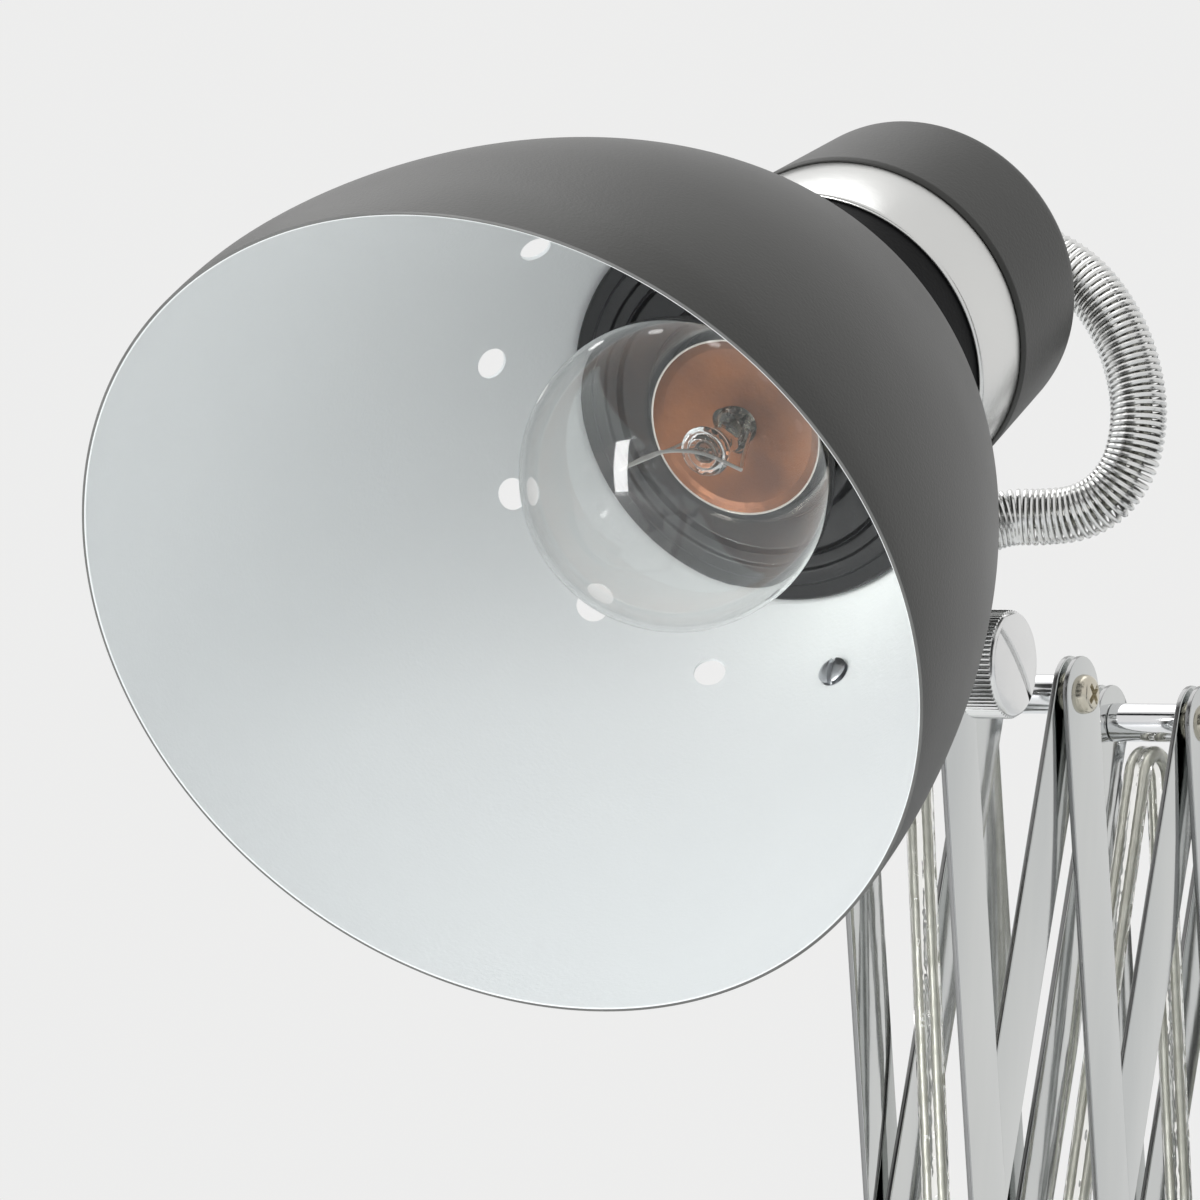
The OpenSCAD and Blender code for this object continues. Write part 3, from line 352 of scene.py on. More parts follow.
def softened(node, width, segments=2, angle=30.0):
    """A copy of a CAD node's mesh with its points merged, its flat faces made whole and its edges rounded by
    a Bevel of that width in millimetres."""
    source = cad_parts[node].data
    work = bmesh.new()
    work.from_mesh(source)
    bmesh.ops.remove_doubles(work, verts=work.verts, dist=1e-6)
    bmesh.ops.dissolve_limit(work, angle_limit=math.radians(1.0), verts=work.verts, edges=work.edges)
    mesh = bpy.data.meshes.new(node + "_finish")
    work.to_mesh(mesh)
    work.free()
    mesh.polygons.foreach_set("use_smooth", np.ones(len(mesh.polygons), bool))
    mesh.set_sharp_from_angle(angle=math.radians(angle))
    thing = bpy.data.objects.new(node + "_finish", mesh)
    scene.collection.objects.link(thing)
    bevel = thing.modifiers.new("edges", "BEVEL")
    bevel.width = width * 0.001
    bevel.segments = segments
    bevel.limit_method = "ANGLE"
    bevel.angle_limit = math.radians(angle)
    bevel.harden_normals = True
    return thing


cast_paint = finish("cast_iron_paint", (0.085, 0.083, 0.080), (0.065, 0.064, 0.062), (0.42, 0.58), 700.0,
                    25.0, height=0.00012)
rubber = finish("black_rubber", (0.028, 0.028, 0.028), (0.018, 0.018, 0.018), (0.75, 0.9), 1600.0, 60.0,
                height=0.00006)
black_plastic = finish("black_plastic", (0.022, 0.022, 0.023), (0.016, 0.016, 0.017), (0.28, 0.42), 1200.0,
                       40.0, height=0.00003)
chrome = finish("polished_chrome", (0.80, 0.80, 0.81), (0.74, 0.745, 0.755), (0.055, 0.13), 260.0, 22.0,
                stretch=(1, 1, 0.25), height=0.00001, metallic=1.0)
zinc_screw = finish("zinc_plate", (0.66, 0.67, 0.68), (0.56, 0.57, 0.60), (0.22, 0.36), 800.0, 90.0,
                    height=0.00002, metallic=1.0)

dress(softened("clamp_frame", 0.9, 3), "clamp", "clamp_paint", cast_paint, "clamp_frame")
dress(softened("jaw_pad", 0.5), "clamp", "rubber", rubber, "jaw_pad")

COLUMN_TOP, COLUMN_FOOT, COLUMN_RADIUS = 338.0, 6.0, 6.0
column = mesh_object("column_finish", [lathe(rounded(
    [(0, COLUMN_FOOT), (COLUMN_RADIUS, COLUMN_FOOT), (COLUMN_RADIUS, COLUMN_TOP), (0, COLUMN_TOP)], 0.8))])
dress(column, "clamp", "chrome", chrome, "column")
cap_profile = [(6.05, 328.1), (9.5, 328.1), (10, 328.6), (10, 337), (9.4, 339.6), (8, 341.1), (5.5, 342.1),
               (0, 342.5), (0, 338.1), (6.05, 338.1)]
dress(mesh_object("column_cap_finish", [lathe(rounded(cap_profile, 1.2))]), "clamp", "black_plastic",
      black_plastic, "column_cap")

# The clamp screw has a real thread: the rod's radius follows a rounded sawtooth of the height and the angle.
SCREW_Y, SCREW_LOW, SCREW_HIGH, SCREW_RADIUS = -22.0, -112.0, -33.1, 5.0
THREAD_PITCH, THREAD_DEPTH = 2.0, 0.7
SCREW_HEAD_RADIUS, SCREW_HEAD_HEIGHT = 8, 16


def threaded(radius, low, high, pitch, depth, turns=40, rows_per_pitch=8):
    """A threaded rod along +Z: radius less the depth times a raised cosine of (height / pitch - angle /
    turn), which fades over the first and last pitch; the two ends close on the axis."""
    h = np.linspace(low, high, int((high - low) / pitch * rows_per_pitch))[:, None]
    a = (np.arange(turns) * 2 * np.pi / turns)[None]
    fade = np.clip((h - low) / pitch, 0, 1) * np.clip((high - h) / pitch, 0, 1)
    r = radius - depth * fade * (0.5 - 0.5 * np.cos(2 * np.pi * h / pitch - a)) ** 0.8
    r = np.concatenate([0 * a, r[:1] - 0.3, r, r[-1:] - 0.3, 0 * a])
    h = np.concatenate([h[:1], h[:1], h, h[-1:], h[-1:]])
    points = np.stack([r * np.cos(a), r * np.sin(a), h + 0 * a], -1)
    return points.reshape(-1, 3), quads_of(len(h), turns), 0


steel = finish("turned_steel", (0.52, 0.52, 0.53), (0.44, 0.44, 0.45), (0.24, 0.38), 500.0, 60.0,
               stretch=(1, 1, 3), height=0.00003, metallic=1.0)
head_top = SCREW_LOW + SCREW_HEAD_HEIGHT
screw_head = [(0, SCREW_LOW), (SCREW_HEAD_RADIUS, SCREW_LOW), (SCREW_HEAD_RADIUS, head_top), (0, head_top)]
screw_tip = [(0, -36), (4, -36), (4, -29.2), (0, -29.2)]
screw_parts = [
    moved(threaded(SCREW_RADIUS, head_top, SCREW_HIGH, THREAD_PITCH, THREAD_DEPTH), (0, SCREW_Y, 0)),
    moved(lathe(rounded(screw_head, 1.2)), (0, SCREW_Y, 0)),
    moved(lathe(rounded(screw_tip, 0.8)), (0, SCREW_Y, 0)),
]
dress(mesh_object("clamp_screw_finish", screw_parts), "screw", "chrome", steel, "clamp_screw")
handle_profile = [(0, -30), (4.5, -30), (4.5, -26), (3, -25.6), (3, 25.6), (4.5, 26), (4.5, 30), (0, 30)]
handle = moved(lathe(rounded(handle_profile, 0.8)), (0, SCREW_Y, SCREW_LOW + SCREW_HEAD_HEIGHT / 2), ALONG_X)
dress(mesh_object("clamp_handle_finish", [handle]), "screw", "chrome", steel, "clamp_handle")
shoe_profile = [(0, -27), (13, -27), (13, -29), (12.6, -29.4), (8.4, -33), (5, -33), (5, -30), (0, -30)]
dress(mesh_object("pressure_pad_finish", [moved(lathe(rounded(shoe_profile, 0.6)), (0, SCREW_Y, 0))]),
      "shoe", "black_plastic", black_plastic, "pressure_pad")

# ---------------------------------------------------------------- Bracket
# Folded 2 mm steel channel, painted grey, with a slot in each cheek; it turns on the column by two lugs.
# Its top screws carry the lattice, its slots guide the lattice's rear foot, and a clip grips the cord.
bracket_paint = finish("bracket_paint", (0.150, 0.152, 0.155), (0.120, 0.121, 0.123), (0.36, 0.5), 1100.0,
                       30.0, height=0.00005)
dress(softened("bracket", 0.35), "bracket", "grey_paint", bracket_paint, "bracket")
dress(softened("cord_clip", 0.6), "bracket", "black_plastic", black_plastic, "cord_clip")

# ---------------------------------------------------------------- Lattice bars
# Stamped strips of 1.2 mm steel, 15.4 mm wide with round ends, tumbled and chromed bright.
# Inner pairs lean forward, outer pairs lean back and carry the rivet of each crossing.
BAR_LENGTH, BAR_WIDTH, BAR_THICKNESS = 236.0, 15.4, 1.2
FOLD = 15.0
PITCH = BAR_LENGTH * math.sin(math.radians(FOLD))
STAGES = 4
INNER_FACE, OUTER_FACE, OUTER_OUT = 8.4, 10.8, 12.0
ARM_HEIGHT, ARM_SETBACK = 300.0, 26.0
LOW_HEIGHT = ARM_HEIGHT - BAR_LENGTH * math.cos(math.radians(FOLD))


def top_pivot(k):
    """The upper pivot of row k, counted from the head."""
    return np.array([0.0, -ARM_SETBACK - (STAGES - k) * PITCH, ARM_HEIGHT])


def low_pivot(k):
    """The lower pivot of row k."""
    return np.array([0.0, -ARM_SETBACK - (STAGES - k) * PITCH, LOW_HEIGHT])


def strip(face, thickness, start, end, width, edge=0.28):
    """A flat strip with round ends between two pivots, at x from face to face plus thickness: rings of one
    stadium outline, inset by a quarter circle at both faces, and the faces close on the line between the
    pivots. The sheared edge between the faces is material 1, coloured near black as painted shade."""
    along = (end - start) / np.linalg.norm(end - start)
    side = np.array([0.0, -along[2], along[1]])
    a = np.linspace(-np.pi / 2, np.pi / 2, 17)
    radius = width / 2

    def outline(inset):
        r = radius - inset
        tip = end[None] + r * (np.cos(a)[:, None] * along + np.sin(a)[:, None] * side)
        tail = start[None] - r * (np.cos(a)[:, None] * along + np.sin(a)[:, None] * side)
        steps = np.linspace(0, 1, 26)[1:-1, None]
        rise = tip[-1] + (tail[0] - tip[-1]) * steps
        fall = tail[-1] + (tip[0] - tail[-1]) * steps
        return np.concatenate([tip, rise, tail, fall])
    turn = np.linspace(0, np.pi / 2, 4)
    depth = np.concatenate([[0], edge - edge * np.cos(turn), [thickness / 2]])
    inset = np.concatenate([[radius], edge - edge * np.sin(turn), [0.0]])
    rings = [outline(i) * (0, 1, 1) + (face + d, 0, 0) for i, d in zip(inset, depth)]
    far_face = face + thickness
    rings += [outline(i) * (0, 1, 1) + (far_face - d, 0, 0) for i, d in zip(inset[::-1], depth[::-1])]
    grid = np.array(rings)
    row = np.repeat(np.arange(len(rings) - 1), grid.shape[1])
    middle_row, edge_rows = len(rings) // 2 - 1, 2
    on_edge = np.abs(row - middle_row) <= edge_rows
    return grid.reshape(-1, 3), quads_of(len(rings), grid.shape[1]), on_edge


def mirrored(part):
    """The part and its mirror image on the far side of the arm, whose faces are turned back outwards."""
    return [part, (part[0] * (-1, 1, 1), np.asarray(part[1])[:, ::-1], *part[2:])]


bar_chrome = finish("bar_chrome", (0.66, 0.67, 0.66), (0.56, 0.575, 0.575), (0.05, 0.15), 90.0, 34.0,
                    stretch=(1, 1, 0.2), contrast=0.6, height=0.00004, metallic=1.0)
# Chrome coloured near black on the bars' sheared edges: painted shade for the dark lines along the strips'
# edges.
edge_painted_dark = finish("chrome_edge_painted_dark", (0.26, 0.26, 0.26), (0.04, 0.04, 0.04), (0.22, 0.5), 1600.0,
                      420.0, contrast=1.0, height=0.00008, metallic=1.0)

for k in range(1, STAGES + 1):
    parts = mirrored(strip(INNER_FACE, BAR_THICKNESS, top_pivot(k), low_pivot(k - 1), BAR_WIDTH))
    dress(mesh_object(f"inner_bars_{k}_finish", parts), f"inner_{k}", "chrome", [bar_chrome, edge_painted_dark],
          f"inner_bars_{k}")

rivet_head = rounded([(0, OUTER_OUT), (4, OUTER_OUT), (3.8, OUTER_OUT + 0.7), (2.8, OUTER_OUT + 1.2),
                      (0, OUTER_OUT + 1.2)], 0.5)
rivet_tail = rounded([(0, INNER_FACE - 1.3), (2.8, INNER_FACE - 1.3), (4, INNER_FACE - 0.8),
                      (4, INNER_FACE - 0.1), (0, INNER_FACE - 0.1)], 0.4)
rivet_shank = rounded([(0, INNER_FACE - 0.2), (2.4, INNER_FACE - 0.2), (2.4, OUTER_OUT + 0.1),
                       (0, OUTER_OUT + 0.1)], 0.05)
rivet_collar = rounded([(2.4, 9.7), (3.5, 9.7), (3.5, OUTER_FACE), (2.4, OUTER_FACE)], 0.15)
for k in range(STAGES):
    crossing = (top_pivot(k) + low_pivot(k + 1)) / 2
    parts = mirrored(strip(OUTER_FACE, BAR_THICKNESS, top_pivot(k), low_pivot(k + 1), BAR_WIDTH))
    for profile in (rivet_head, rivet_tail, rivet_shank, rivet_collar):
        parts += mirrored(moved(lathe(profile, 32), crossing, ALONG_X))
    dress(mesh_object(f"outer_bars_{k}_finish", parts), f"outer_{k}", "chrome", [bar_chrome, edge_painted_dark],
          f"outer_bars_{k}")

# ---------------------------------------------------------------- Cross tubes
# Drawn steel tubes of 8 mm, cut square, deburred and chromed; the screws' threads bite in their bores.
TUBE_RADIUS, BORE_RADIUS = 4.0, 2.05
TUBE_HALF = INNER_FACE - 0.1


def cross_tube(centre, half_length):
    """A bored tube along X: a rounded rectangle of wall turned round the tube's own line."""
    wall = rounded([(BORE_RADIUS, -half_length), (TUBE_RADIUS, -half_length), (TUBE_RADIUS, half_length),
                    (BORE_RADIUS, half_length)], 0.35)
    return moved(lathe(wall, 48), centre, ALONG_X)


tube_chrome = finish("tube_chrome", (0.82, 0.82, 0.83), (0.76, 0.765, 0.775), (0.05, 0.12), 300.0, 40.0,
                     stretch=(0.3, 1, 1), height=0.00001, metallic=1.0)
for k in range(STAGES):
    parts = [cross_tube(top_pivot(k), OUTER_FACE if k == 0 else TUBE_HALF),
             cross_tube(low_pivot(k + 1), OUTER_FACE if k == STAGES - 1 else TUBE_HALF)]
    dress(mesh_object(f"cross_tubes_{k}_finish", parts), f"outer_{k}", "chrome", tube_chrome,
          f"cross_tubes_{k}")
dress(mesh_object("front_tube_finish", [cross_tube(low_pivot(0), INNER_FACE)]), "inner_1", "chrome",
      tube_chrome, "front_tube")
dress(mesh_object("rear_tube_finish", [cross_tube(top_pivot(STAGES), TUBE_HALF)]), "bracket", "chrome",
      tube_chrome, "rear_tube")

# ---------------------------------------------------------------- Pivot screws and washers
# Nickel-plated pan-head machine screws with a cross recess and a plain shoulder on which the bars turn;
# a thin washer keeps each inner bar off its outer bar.
HEAD_RADIUS, HEAD_HEIGHT, SHOULDER_RADIUS = 4.0, 2.4, 2.5
WASHER_INSIDE, WASHER_BORE, WASHER_RADIUS = 9.7, 2.55, 4.8


def disc_grid(count, dense=1.0):
    """Points of the unit disc from a square grid (u, v): x = u sqrt(1 - v^2 / 2), y = v sqrt(1 - u^2 / 2), so
    the grid's lines run straight near the middle and the square's border lands on the circle."""
    line = np.linspace(-1, 1, count)
    line = np.sign(line) * (1 - (1 - np.abs(line)) ** dense)
    u, v = np.meshgrid(line, line, indexing="ij")
    return u, v, u * np.sqrt(1 - v ** 2 / 2), v * np.sqrt(1 - u ** 2 / 2)


def pan_head(turn):
    """A pan head on +Z: at the radius rho its height is (1 - rho^6)^(1/2) of the full one, and the cross
    recess lowers it where |u| or |v| is under the blade's half width and the other is under its reach."""
    u, v, x, y = disc_grid(61, 1.25)
    rho = np.clip(np.hypot(x, y), 0, 1)
    height = HEAD_HEIGHT * np.sqrt(np.clip(1 - rho ** 6, 0, 1))
    blade, reach, wall = 0.15, 0.60, 0.04
    recess_depth, point_depth, point_radius = 1.5, 0.4, 0.28

    def arm(across, along):
        sides = np.clip((blade - np.abs(across)) / wall, 0, 1)
        return sides * np.clip((reach - np.abs(along)) / wall / 2, 0, 1)
    recess = np.maximum(arm(u, v), arm(v, u))
    centre = np.clip(1 - rho / point_radius, 0, 1)
    height = height - recess * (recess_depth + point_depth * centre)
    c, s = math.cos(turn), math.sin(turn)
    top = np.stack([HEAD_RADIUS * (c * x - s * y), HEAD_RADIUS * (s * x + c * y), height], -1)
    under = top * (1, 1, 0)
    n = len(u)
    faces = quads_of(n, n, False, False)
    return (np.concatenate([top.reshape(-1, 3), under.reshape(-1, 3)]),
            np.concatenate([faces, faces[:, ::-1] + n * n]), 0)


def pivot_screw(centre, seat, inner_end, turn):
    """The head at its seat, and the shoulder from the seat in to the tube's end, along X."""
    outline = [(0, inner_end), (SHOULDER_RADIUS, inner_end), (SHOULDER_RADIUS, seat), (0, seat)]
    shoulder = rounded(outline, 0.1)
    return [moved(pan_head(turn), np.asarray(centre) + (seat, 0, 0), ALONG_X),
            moved(lathe(shoulder, 24), centre, ALONG_X)]


def washer(centre, outside=OUTER_FACE):
    """A flat ring along X, from the inner bar's face out to a place."""
    wall = rounded([(WASHER_BORE, WASHER_INSIDE), (WASHER_RADIUS, WASHER_INSIDE), (WASHER_RADIUS, outside),
                    (WASHER_BORE, outside)], 0.12)
    return [moved(lathe(wall, 40), centre, ALONG_X)]


def both_sides(parts):
    """Each part and its mirror image."""
    return [side for part in parts for side in mirrored(part)]


nickel = finish("nickel_plate", (0.66, 0.62, 0.52), (0.54, 0.50, 0.42), (0.16, 0.30), 900.0, 140.0,
                height=0.00002, metallic=1.0)
# Every screw stopped at its own angle. The first top pivot has one screw, opposite the thumb screw; the
# slide's screws lie outside its bushes, and the bracket's outside its cheeks.
screw_turns = np.random.default_rng(4).uniform(0, math.pi / 2, 16)
top_turns, low_turns, front_turn, bracket_turn = screw_turns[:4], screw_turns[4:8], *screw_turns[9:11]
BUSH_OUT, CHEEK_IN, CHEEK_OUT = 16.2, 13.0, 15.0
for k in range(STAGES):
    if k == 0:
        parts = [mirrored(part)[1] for part in pivot_screw(top_pivot(0), OUTER_OUT, OUTER_FACE, top_turns[0])]
    else:
        parts = both_sides(pivot_screw(top_pivot(k), OUTER_OUT, TUBE_HALF, top_turns[k])
                           + washer(top_pivot(k)))
    if k == STAGES - 1:
        parts += both_sides(pivot_screw(low_pivot(STAGES), BUSH_OUT, OUTER_FACE, low_turns[k]))
    else:
        parts += both_sides(pivot_screw(low_pivot(k + 1), OUTER_OUT, TUBE_HALF, low_turns[k])
                            + washer(low_pivot(k + 1)))
    dress(mesh_object(f"pivot_screws_{k}_finish", parts, 28), f"outer_{k}", "nickel", nickel,
          f"pivot_screws_{k}")
front_parts = both_sides(pivot_screw(low_pivot(0), INNER_FACE + BAR_THICKNESS, INNER_FACE, front_turn))
dress(mesh_object("front_screws_finish", front_parts, 28), "inner_1", "nickel", nickel, "front_screws")
bracket_parts = both_sides(pivot_screw(top_pivot(STAGES), CHEEK_OUT, TUBE_HALF, bracket_turn))
dress(mesh_object("bracket_screws_finish", bracket_parts, 28), "bracket", "nickel", nickel, "bracket_screws")
dress(mesh_object("bracket_spacers_finish", both_sides(washer(top_pivot(STAGES), CHEEK_IN))),
      "bracket", "chrome", tube_chrome, "bracket_spacers")
white_plastic = finish("white_plastic", (0.74, 0.74, 0.72), (0.70, 0.70, 0.68), (0.34, 0.44), 900.0, 40.0,
                       height=0.00002)
bush = rounded([(WASHER_BORE, OUTER_OUT), (3, OUTER_OUT), (3, 15.4), (6, 15.4), (6, BUSH_OUT),
                (WASHER_BORE, BUSH_OUT)], 0.2)
dress(mesh_object("slide_bushes_finish", mirrored(moved(lathe(bush, 40), low_pivot(STAGES), ALONG_X))),
      "outer_3", "white_plastic", white_plastic, "slide_bushes")

# ---------------------------------------------------------------- Shade
# Spun 0.8 mm sheet, trimmed on a slant at the mouth: matt warm grey outside, satin white inside.
# Twelve holes ring its neck; eleven let the air out and one takes the fixing screw.
SHADE_RADIUS, SHADE_DEPTH, DOME_LENGTH, DOME_POWER, SHADE_WALL = 84.2, 116.0, 142.5, 1.65, 0.8
MOUTH_SLANT = math.tan(math.radians(9.5))
VENT_PLACE, VENT_RADIUS, VENTS = 9.8, 3.15, 12
NECK_TILT = math.radians(26.0)
TILT_BELOW, TILT_BEHIND = 68.4, 45.3


def dome(s):
    """The shade's outer radius at a distance s in front of its neck."""
    return SHADE_RADIUS * np.sqrt(1 - (np.abs(SHADE_DEPTH - s) / DOME_LENGTH) ** DOME_POWER)


def in_neck(points):
    """Points (x, up, along) of the neck's frame, which leans down by the neck's tilt, in the shared frame."""
    points = np.asarray(points, float)
    up, along = points[..., 1] + TILT_BELOW, points[..., 2] + TILT_BEHIND
    c, s = math.cos(NECK_TILT), math.sin(NECK_TILT)
    pivot = top_pivot(0)
    return np.stack([points[..., 0], pivot[1] - along * c - up * s, pivot[2] - along * s + up * c], -1)


def neck_part(part):
    """A part whose points are given in the neck's frame, in the shared frame."""
    return (in_neck(part[0]), *part[1:])


def wall_point(angle, s, inside):
    """A point of the shade's wall: the dome's circle at s and an angle from +x, moved in by the wall along
    the dome's normal if it is inside."""
    slope = (dome(s + 0.25) - dome(s - 0.25)) / 0.5
    thick = SHADE_WALL * inside / np.sqrt(1 + slope ** 2)
    r = dome(s) - thick
    return np.stack([r * np.cos(angle), r * np.sin(angle), s + thick * slope], -1)


VENT_SLOPE = math.sqrt(1 + ((dome(VENT_PLACE + 0.25) - dome(VENT_PLACE - 0.25)) / 0.5) ** 2)
VENT_HALF, VENT_ROWS, COLUMNS = 6.0, 8, 24
sector = 2 * np.pi / VENTS
angles = np.arange(VENTS * COLUMNS) * sector / COLUMNS
# Rows of s: the neck, a band that holds the holes, then the dome out to the slanted mouth.
band_low, band_high = VENT_PLACE - VENT_HALF / VENT_SLOPE, VENT_PLACE + VENT_HALF / VENT_SLOPE
# The mouth's rows are found where the slanted plane meets the dome, in six rounds of the plane's equation.
mouth = np.full_like(angles, SHADE_DEPTH)
for _ in range(6):
    mouth = SHADE_DEPTH + MOUTH_SLANT * dome(mouth) * np.sin(angles)
neck_rows = np.linspace(-8.0, band_low, 10)[:, None] + 0 * angles
band_rows = np.linspace(band_low, band_high, VENT_ROWS + 1)[1:, None] + 0 * angles
rise = np.linspace(0, 1, 60)[1:, None] ** 0.9
front_rows = band_high + (mouth - band_high) * rise
rows = np.concatenate([neck_rows, band_rows, front_rows])
angle_grid = angles[None] + 0 * rows


def without_blocks(faces):
    """The quads of the wall's grid apart from those where the holes' patches go."""
    r, c = faces[:, 0] // len(angles), faces[:, 0] % len(angles)
    first_row = len(neck_rows) - 1
    in_band = (r >= first_row) & (r < first_row + VENT_ROWS)
    middle = (c + 0.5) % COLUMNS - COLUMNS / 2
    return faces[~(in_band & (np.abs(middle) < COLUMNS / 4))]


def vent_patch(index, inside, radius):
    """Rings of points from a block's border in to the hole's circle, with t from 0 to 1 between the two:
    border (1 - t) + circle t, laid out flat in millimetres round the hole's centre and put on the wall."""
    centre = (index + 0.5) * sector
    around = dome(VENT_PLACE)
    half = COLUMNS // 4
    a = np.arange(-half, half + 1) * sector / COLUMNS * around
    b = np.linspace(-VENT_HALF, VENT_HALF, VENT_ROWS + 1)
    border = np.concatenate([np.stack([a, 0 * a + b[0]], -1), np.stack([0 * b[1:] + a[-1], b[1:]], -1),
                             np.stack([a[-2::-1], 0 * a[:-1] + b[-1]], -1),
                             np.stack([0 * b[-2:0:-1] + a[0], b[-2:0:-1]], -1)])
    turn = np.arctan2(border[:, 1], border[:, 0])
    circle = radius * np.stack([np.cos(turn), np.sin(turn)], -1)
    t = (np.linspace(0, 1, 6) ** 0.8)[:, None, None]
    flat = border * (1 - t) + circle * t
    points = wall_point(centre + flat[..., 0] / around, VENT_PLACE + flat[..., 1] / VENT_SLOPE, inside)
    return points, quads_of(len(points), len(border))


SCREW_HOLE, SCREW_PLACE = 1.55, 9
outer = wall_point(angle_grid, rows, 0)
inner = wall_point(angle_grid, rows, 1)
faces = without_blocks(quads_of(len(rows), len(angles)))
shade_parts = [(outer.reshape(-1, 3), faces, 0), (inner.reshape(-1, 3), faces[:, ::-1], 1)]
for index in range(VENTS):
    # The fixing screw takes one place, whose small hole its shank fills.
    radius = SCREW_HOLE if index == SCREW_PLACE else VENT_RADIUS
    out_points, patch_faces = vent_patch(index, 0, radius)
    in_points, _ = vent_patch(index, 1, radius)
    shade_parts += [(out_points.reshape(-1, 3), patch_faces, 0),
                    (in_points.reshape(-1, 3), patch_faces[:, ::-1], 1)]
    rim_points = np.array([out_points[-1], in_points[-1]])
    shade_parts.append((rim_points.reshape(-1, 3), quads_of(2, rim_points.shape[1]), 1))
# The trimmed edge of the mouth, where the two paints meet in a thin line, and the spun lip at the neck.
outer_rim, inner_rim = outer[-1], inner[-1]
edge = np.stack([outer_rim, outer_rim * 0.75 + inner_rim * 0.25 + (0, 0, 0.16),
                 outer_rim * 0.3 + inner_rim * 0.7 + (0, 0, 0.18), inner_rim])
edge_faces = quads_of(4, len(angles))
shade_parts.append((edge.reshape(-1, 3), edge_faces[:2 * len(angles)], 2))
shade_parts.append((edge.reshape(-1, 3), edge_faces[2 * len(angles):], 1))
lip = np.array([(37.7, -8.6), (37.2, -9.4), (37.2, -12.8), (36.9, -13.0), (36.5, -12.8), (36.4, -9.0),
                (36.6, -8.2)])
lip_points = np.stack([lip[:, :1] * np.cos(angles), lip[:, :1] * np.sin(angles), lip[:, 1:] + 0 * angles], -1)
lip_grid = np.concatenate([outer[:1], lip_points, inner[:1]])
shade_parts.append((lip_grid.reshape(-1, 3), quads_of(len(lip_grid), len(angles)), 0))
shade = mesh_object("shade_finish", [neck_part(p) for p in shade_parts], 40)
shade_grey = finish("shade_grey_paint", (0.030, 0.0295, 0.0265), (0.026, 0.0255, 0.023), (0.38, 0.45), 1500.0,
                    14.0, height=0.00003, Specular_IOR_Level=0.38)
shade_white = finish("shade_white_paint", (0.865, 0.885, 0.885), (0.845, 0.865, 0.868), (0.40, 0.50), 1300.0,
                     18.0, height=0.00002)
bare_edge = finish("trimmed_edge", (0.16, 0.16, 0.155), (0.12, 0.12, 0.115), (0.35, 0.45), 900.0, 120.0)
dress(shade, "head", "grey_paint", [shade_grey, shade_white, bare_edge], "shade")

# ---------------------------------------------------------------- Neck
# A black moulded lampholder carries a ribbed ring that holds the shade, a chromed collar round its waist,
# and a drawn steel cap in the shade's grey at the rear; a brass nipple through the cap holds them together.
ring_profile = [(19.4, -4.4), (39.2, -4.4), (39.8, -3.8), (39.8, -3.0), (39.2, -2.4), (36.6, -2.4),
                (36.2, -1.6), (33.6, -1.6), (33.2, -2.4), (31.0, -2.4), (30.4, -0.6), (29.8, -2.4),
                (23.4, -2.4), (22.4, 1.6), (19.4, 1.6)]
dress(mesh_object("shade_ring_finish", [neck_part(lathe(rounded(ring_profile, 0.35), 128))]), "head",
      "black_plastic", black_plastic, "shade_ring")
holder_profile = [(0, -62), (30, -62), (32, -60), (32, -49.4), (33, -48.4), (33, -11), (32.5, -8), (32, -5),
                  (18.4, -5), (14.4, -9), (14.4, -41), (0, -41)]
# A darker, less glossy copy of the black plastic: the lampholder seen in the gap between the shade's lip and
# the collar carries painted shade.
holder_plastic_darkened = finish("shaded_lampholder_plastic", (0.006, 0.006, 0.0065), (0.004, 0.004, 0.0045), (0.42, 0.52),
                      1200.0, 40.0, height=0.00003, Specular_IOR_Level=0.07)
dress(mesh_object("lampholder_finish", [neck_part(lathe(rounded(holder_profile, 0.8), 128))]), "head",
      "black_plastic", holder_plastic_darkened, "lampholder")
collar_profile = [(33.05, -49.4), (34, -49.4), (34, -31.4), (33.7, -30.9), (33.3, -30.7), (33.05, -30.8)]
collar_chrome = finish("collar_chrome", (0.73, 0.73, 0.715), (0.68, 0.68, 0.67), (0.20, 0.28), 500.0, 30.0,
                       height=0.00001, metallic=1.0)
dress(mesh_object("collar_finish", [neck_part(lathe(rounded(collar_profile, 0.25), 160))]), "head", "chrome",
      collar_chrome, "collar")
BEND_RADIUS, BEND_LINE, BEND_OUTSIDE, BEND_INSIDE = 27.5, -79.0, 5, 4.1
bend = np.radians(np.arange(15, 91, 15))
cap_outer = [(33.9, -49.45), (34.25, -49.4), (34.75, -50.6), (32.5, BEND_LINE)] + [
    (BEND_RADIUS + BEND_OUTSIDE * math.cos(a), BEND_LINE - BEND_OUTSIDE * math.sin(a)) for a in bend]
cap_inner = [(BEND_RADIUS + BEND_INSIDE * math.cos(a), BEND_LINE - BEND_INSIDE * math.sin(a))
             for a in bend[::-1]] + [(31.6, BEND_LINE)]
cap_ring = cap_outer + [(5.05, -84.0), (5.05, -83.1)] + cap_inner
cap_grey = finish("cap_grey_paint", (0.028, 0.0275, 0.025), (0.024, 0.0235, 0.0215), (0.38, 0.45), 1500.0,
                  20.0, height=0.00003, Specular_IOR_Level=0.38)
dress(mesh_object("cap_finish", [neck_part(lathe(rounded(cap_ring, 0.3), 160))]), "head", "grey_paint",
      cap_grey, "cap")
ferrule_profile = [(5.05, -92.1), (7.2, -92.1), (7.2, -87.1), (8.8, -87.1), (8.8, -83.2), (5.05, -83.2)]
dress(mesh_object("ferrule_finish", [neck_part(lathe(rounded(ferrule_profile, 0.5), 64))]), "head", "chrome",
      tube_chrome, "ferrule")
nipple_brass = finish("nipple_brass", (0.72, 0.52, 0.22), (0.60, 0.43, 0.18), (0.25, 0.35), 900.0, 60.0,
                      metallic=1.0)
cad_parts["nipple"].data.materials.clear()
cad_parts["nipple"].data.materials.append(nipple_brass)

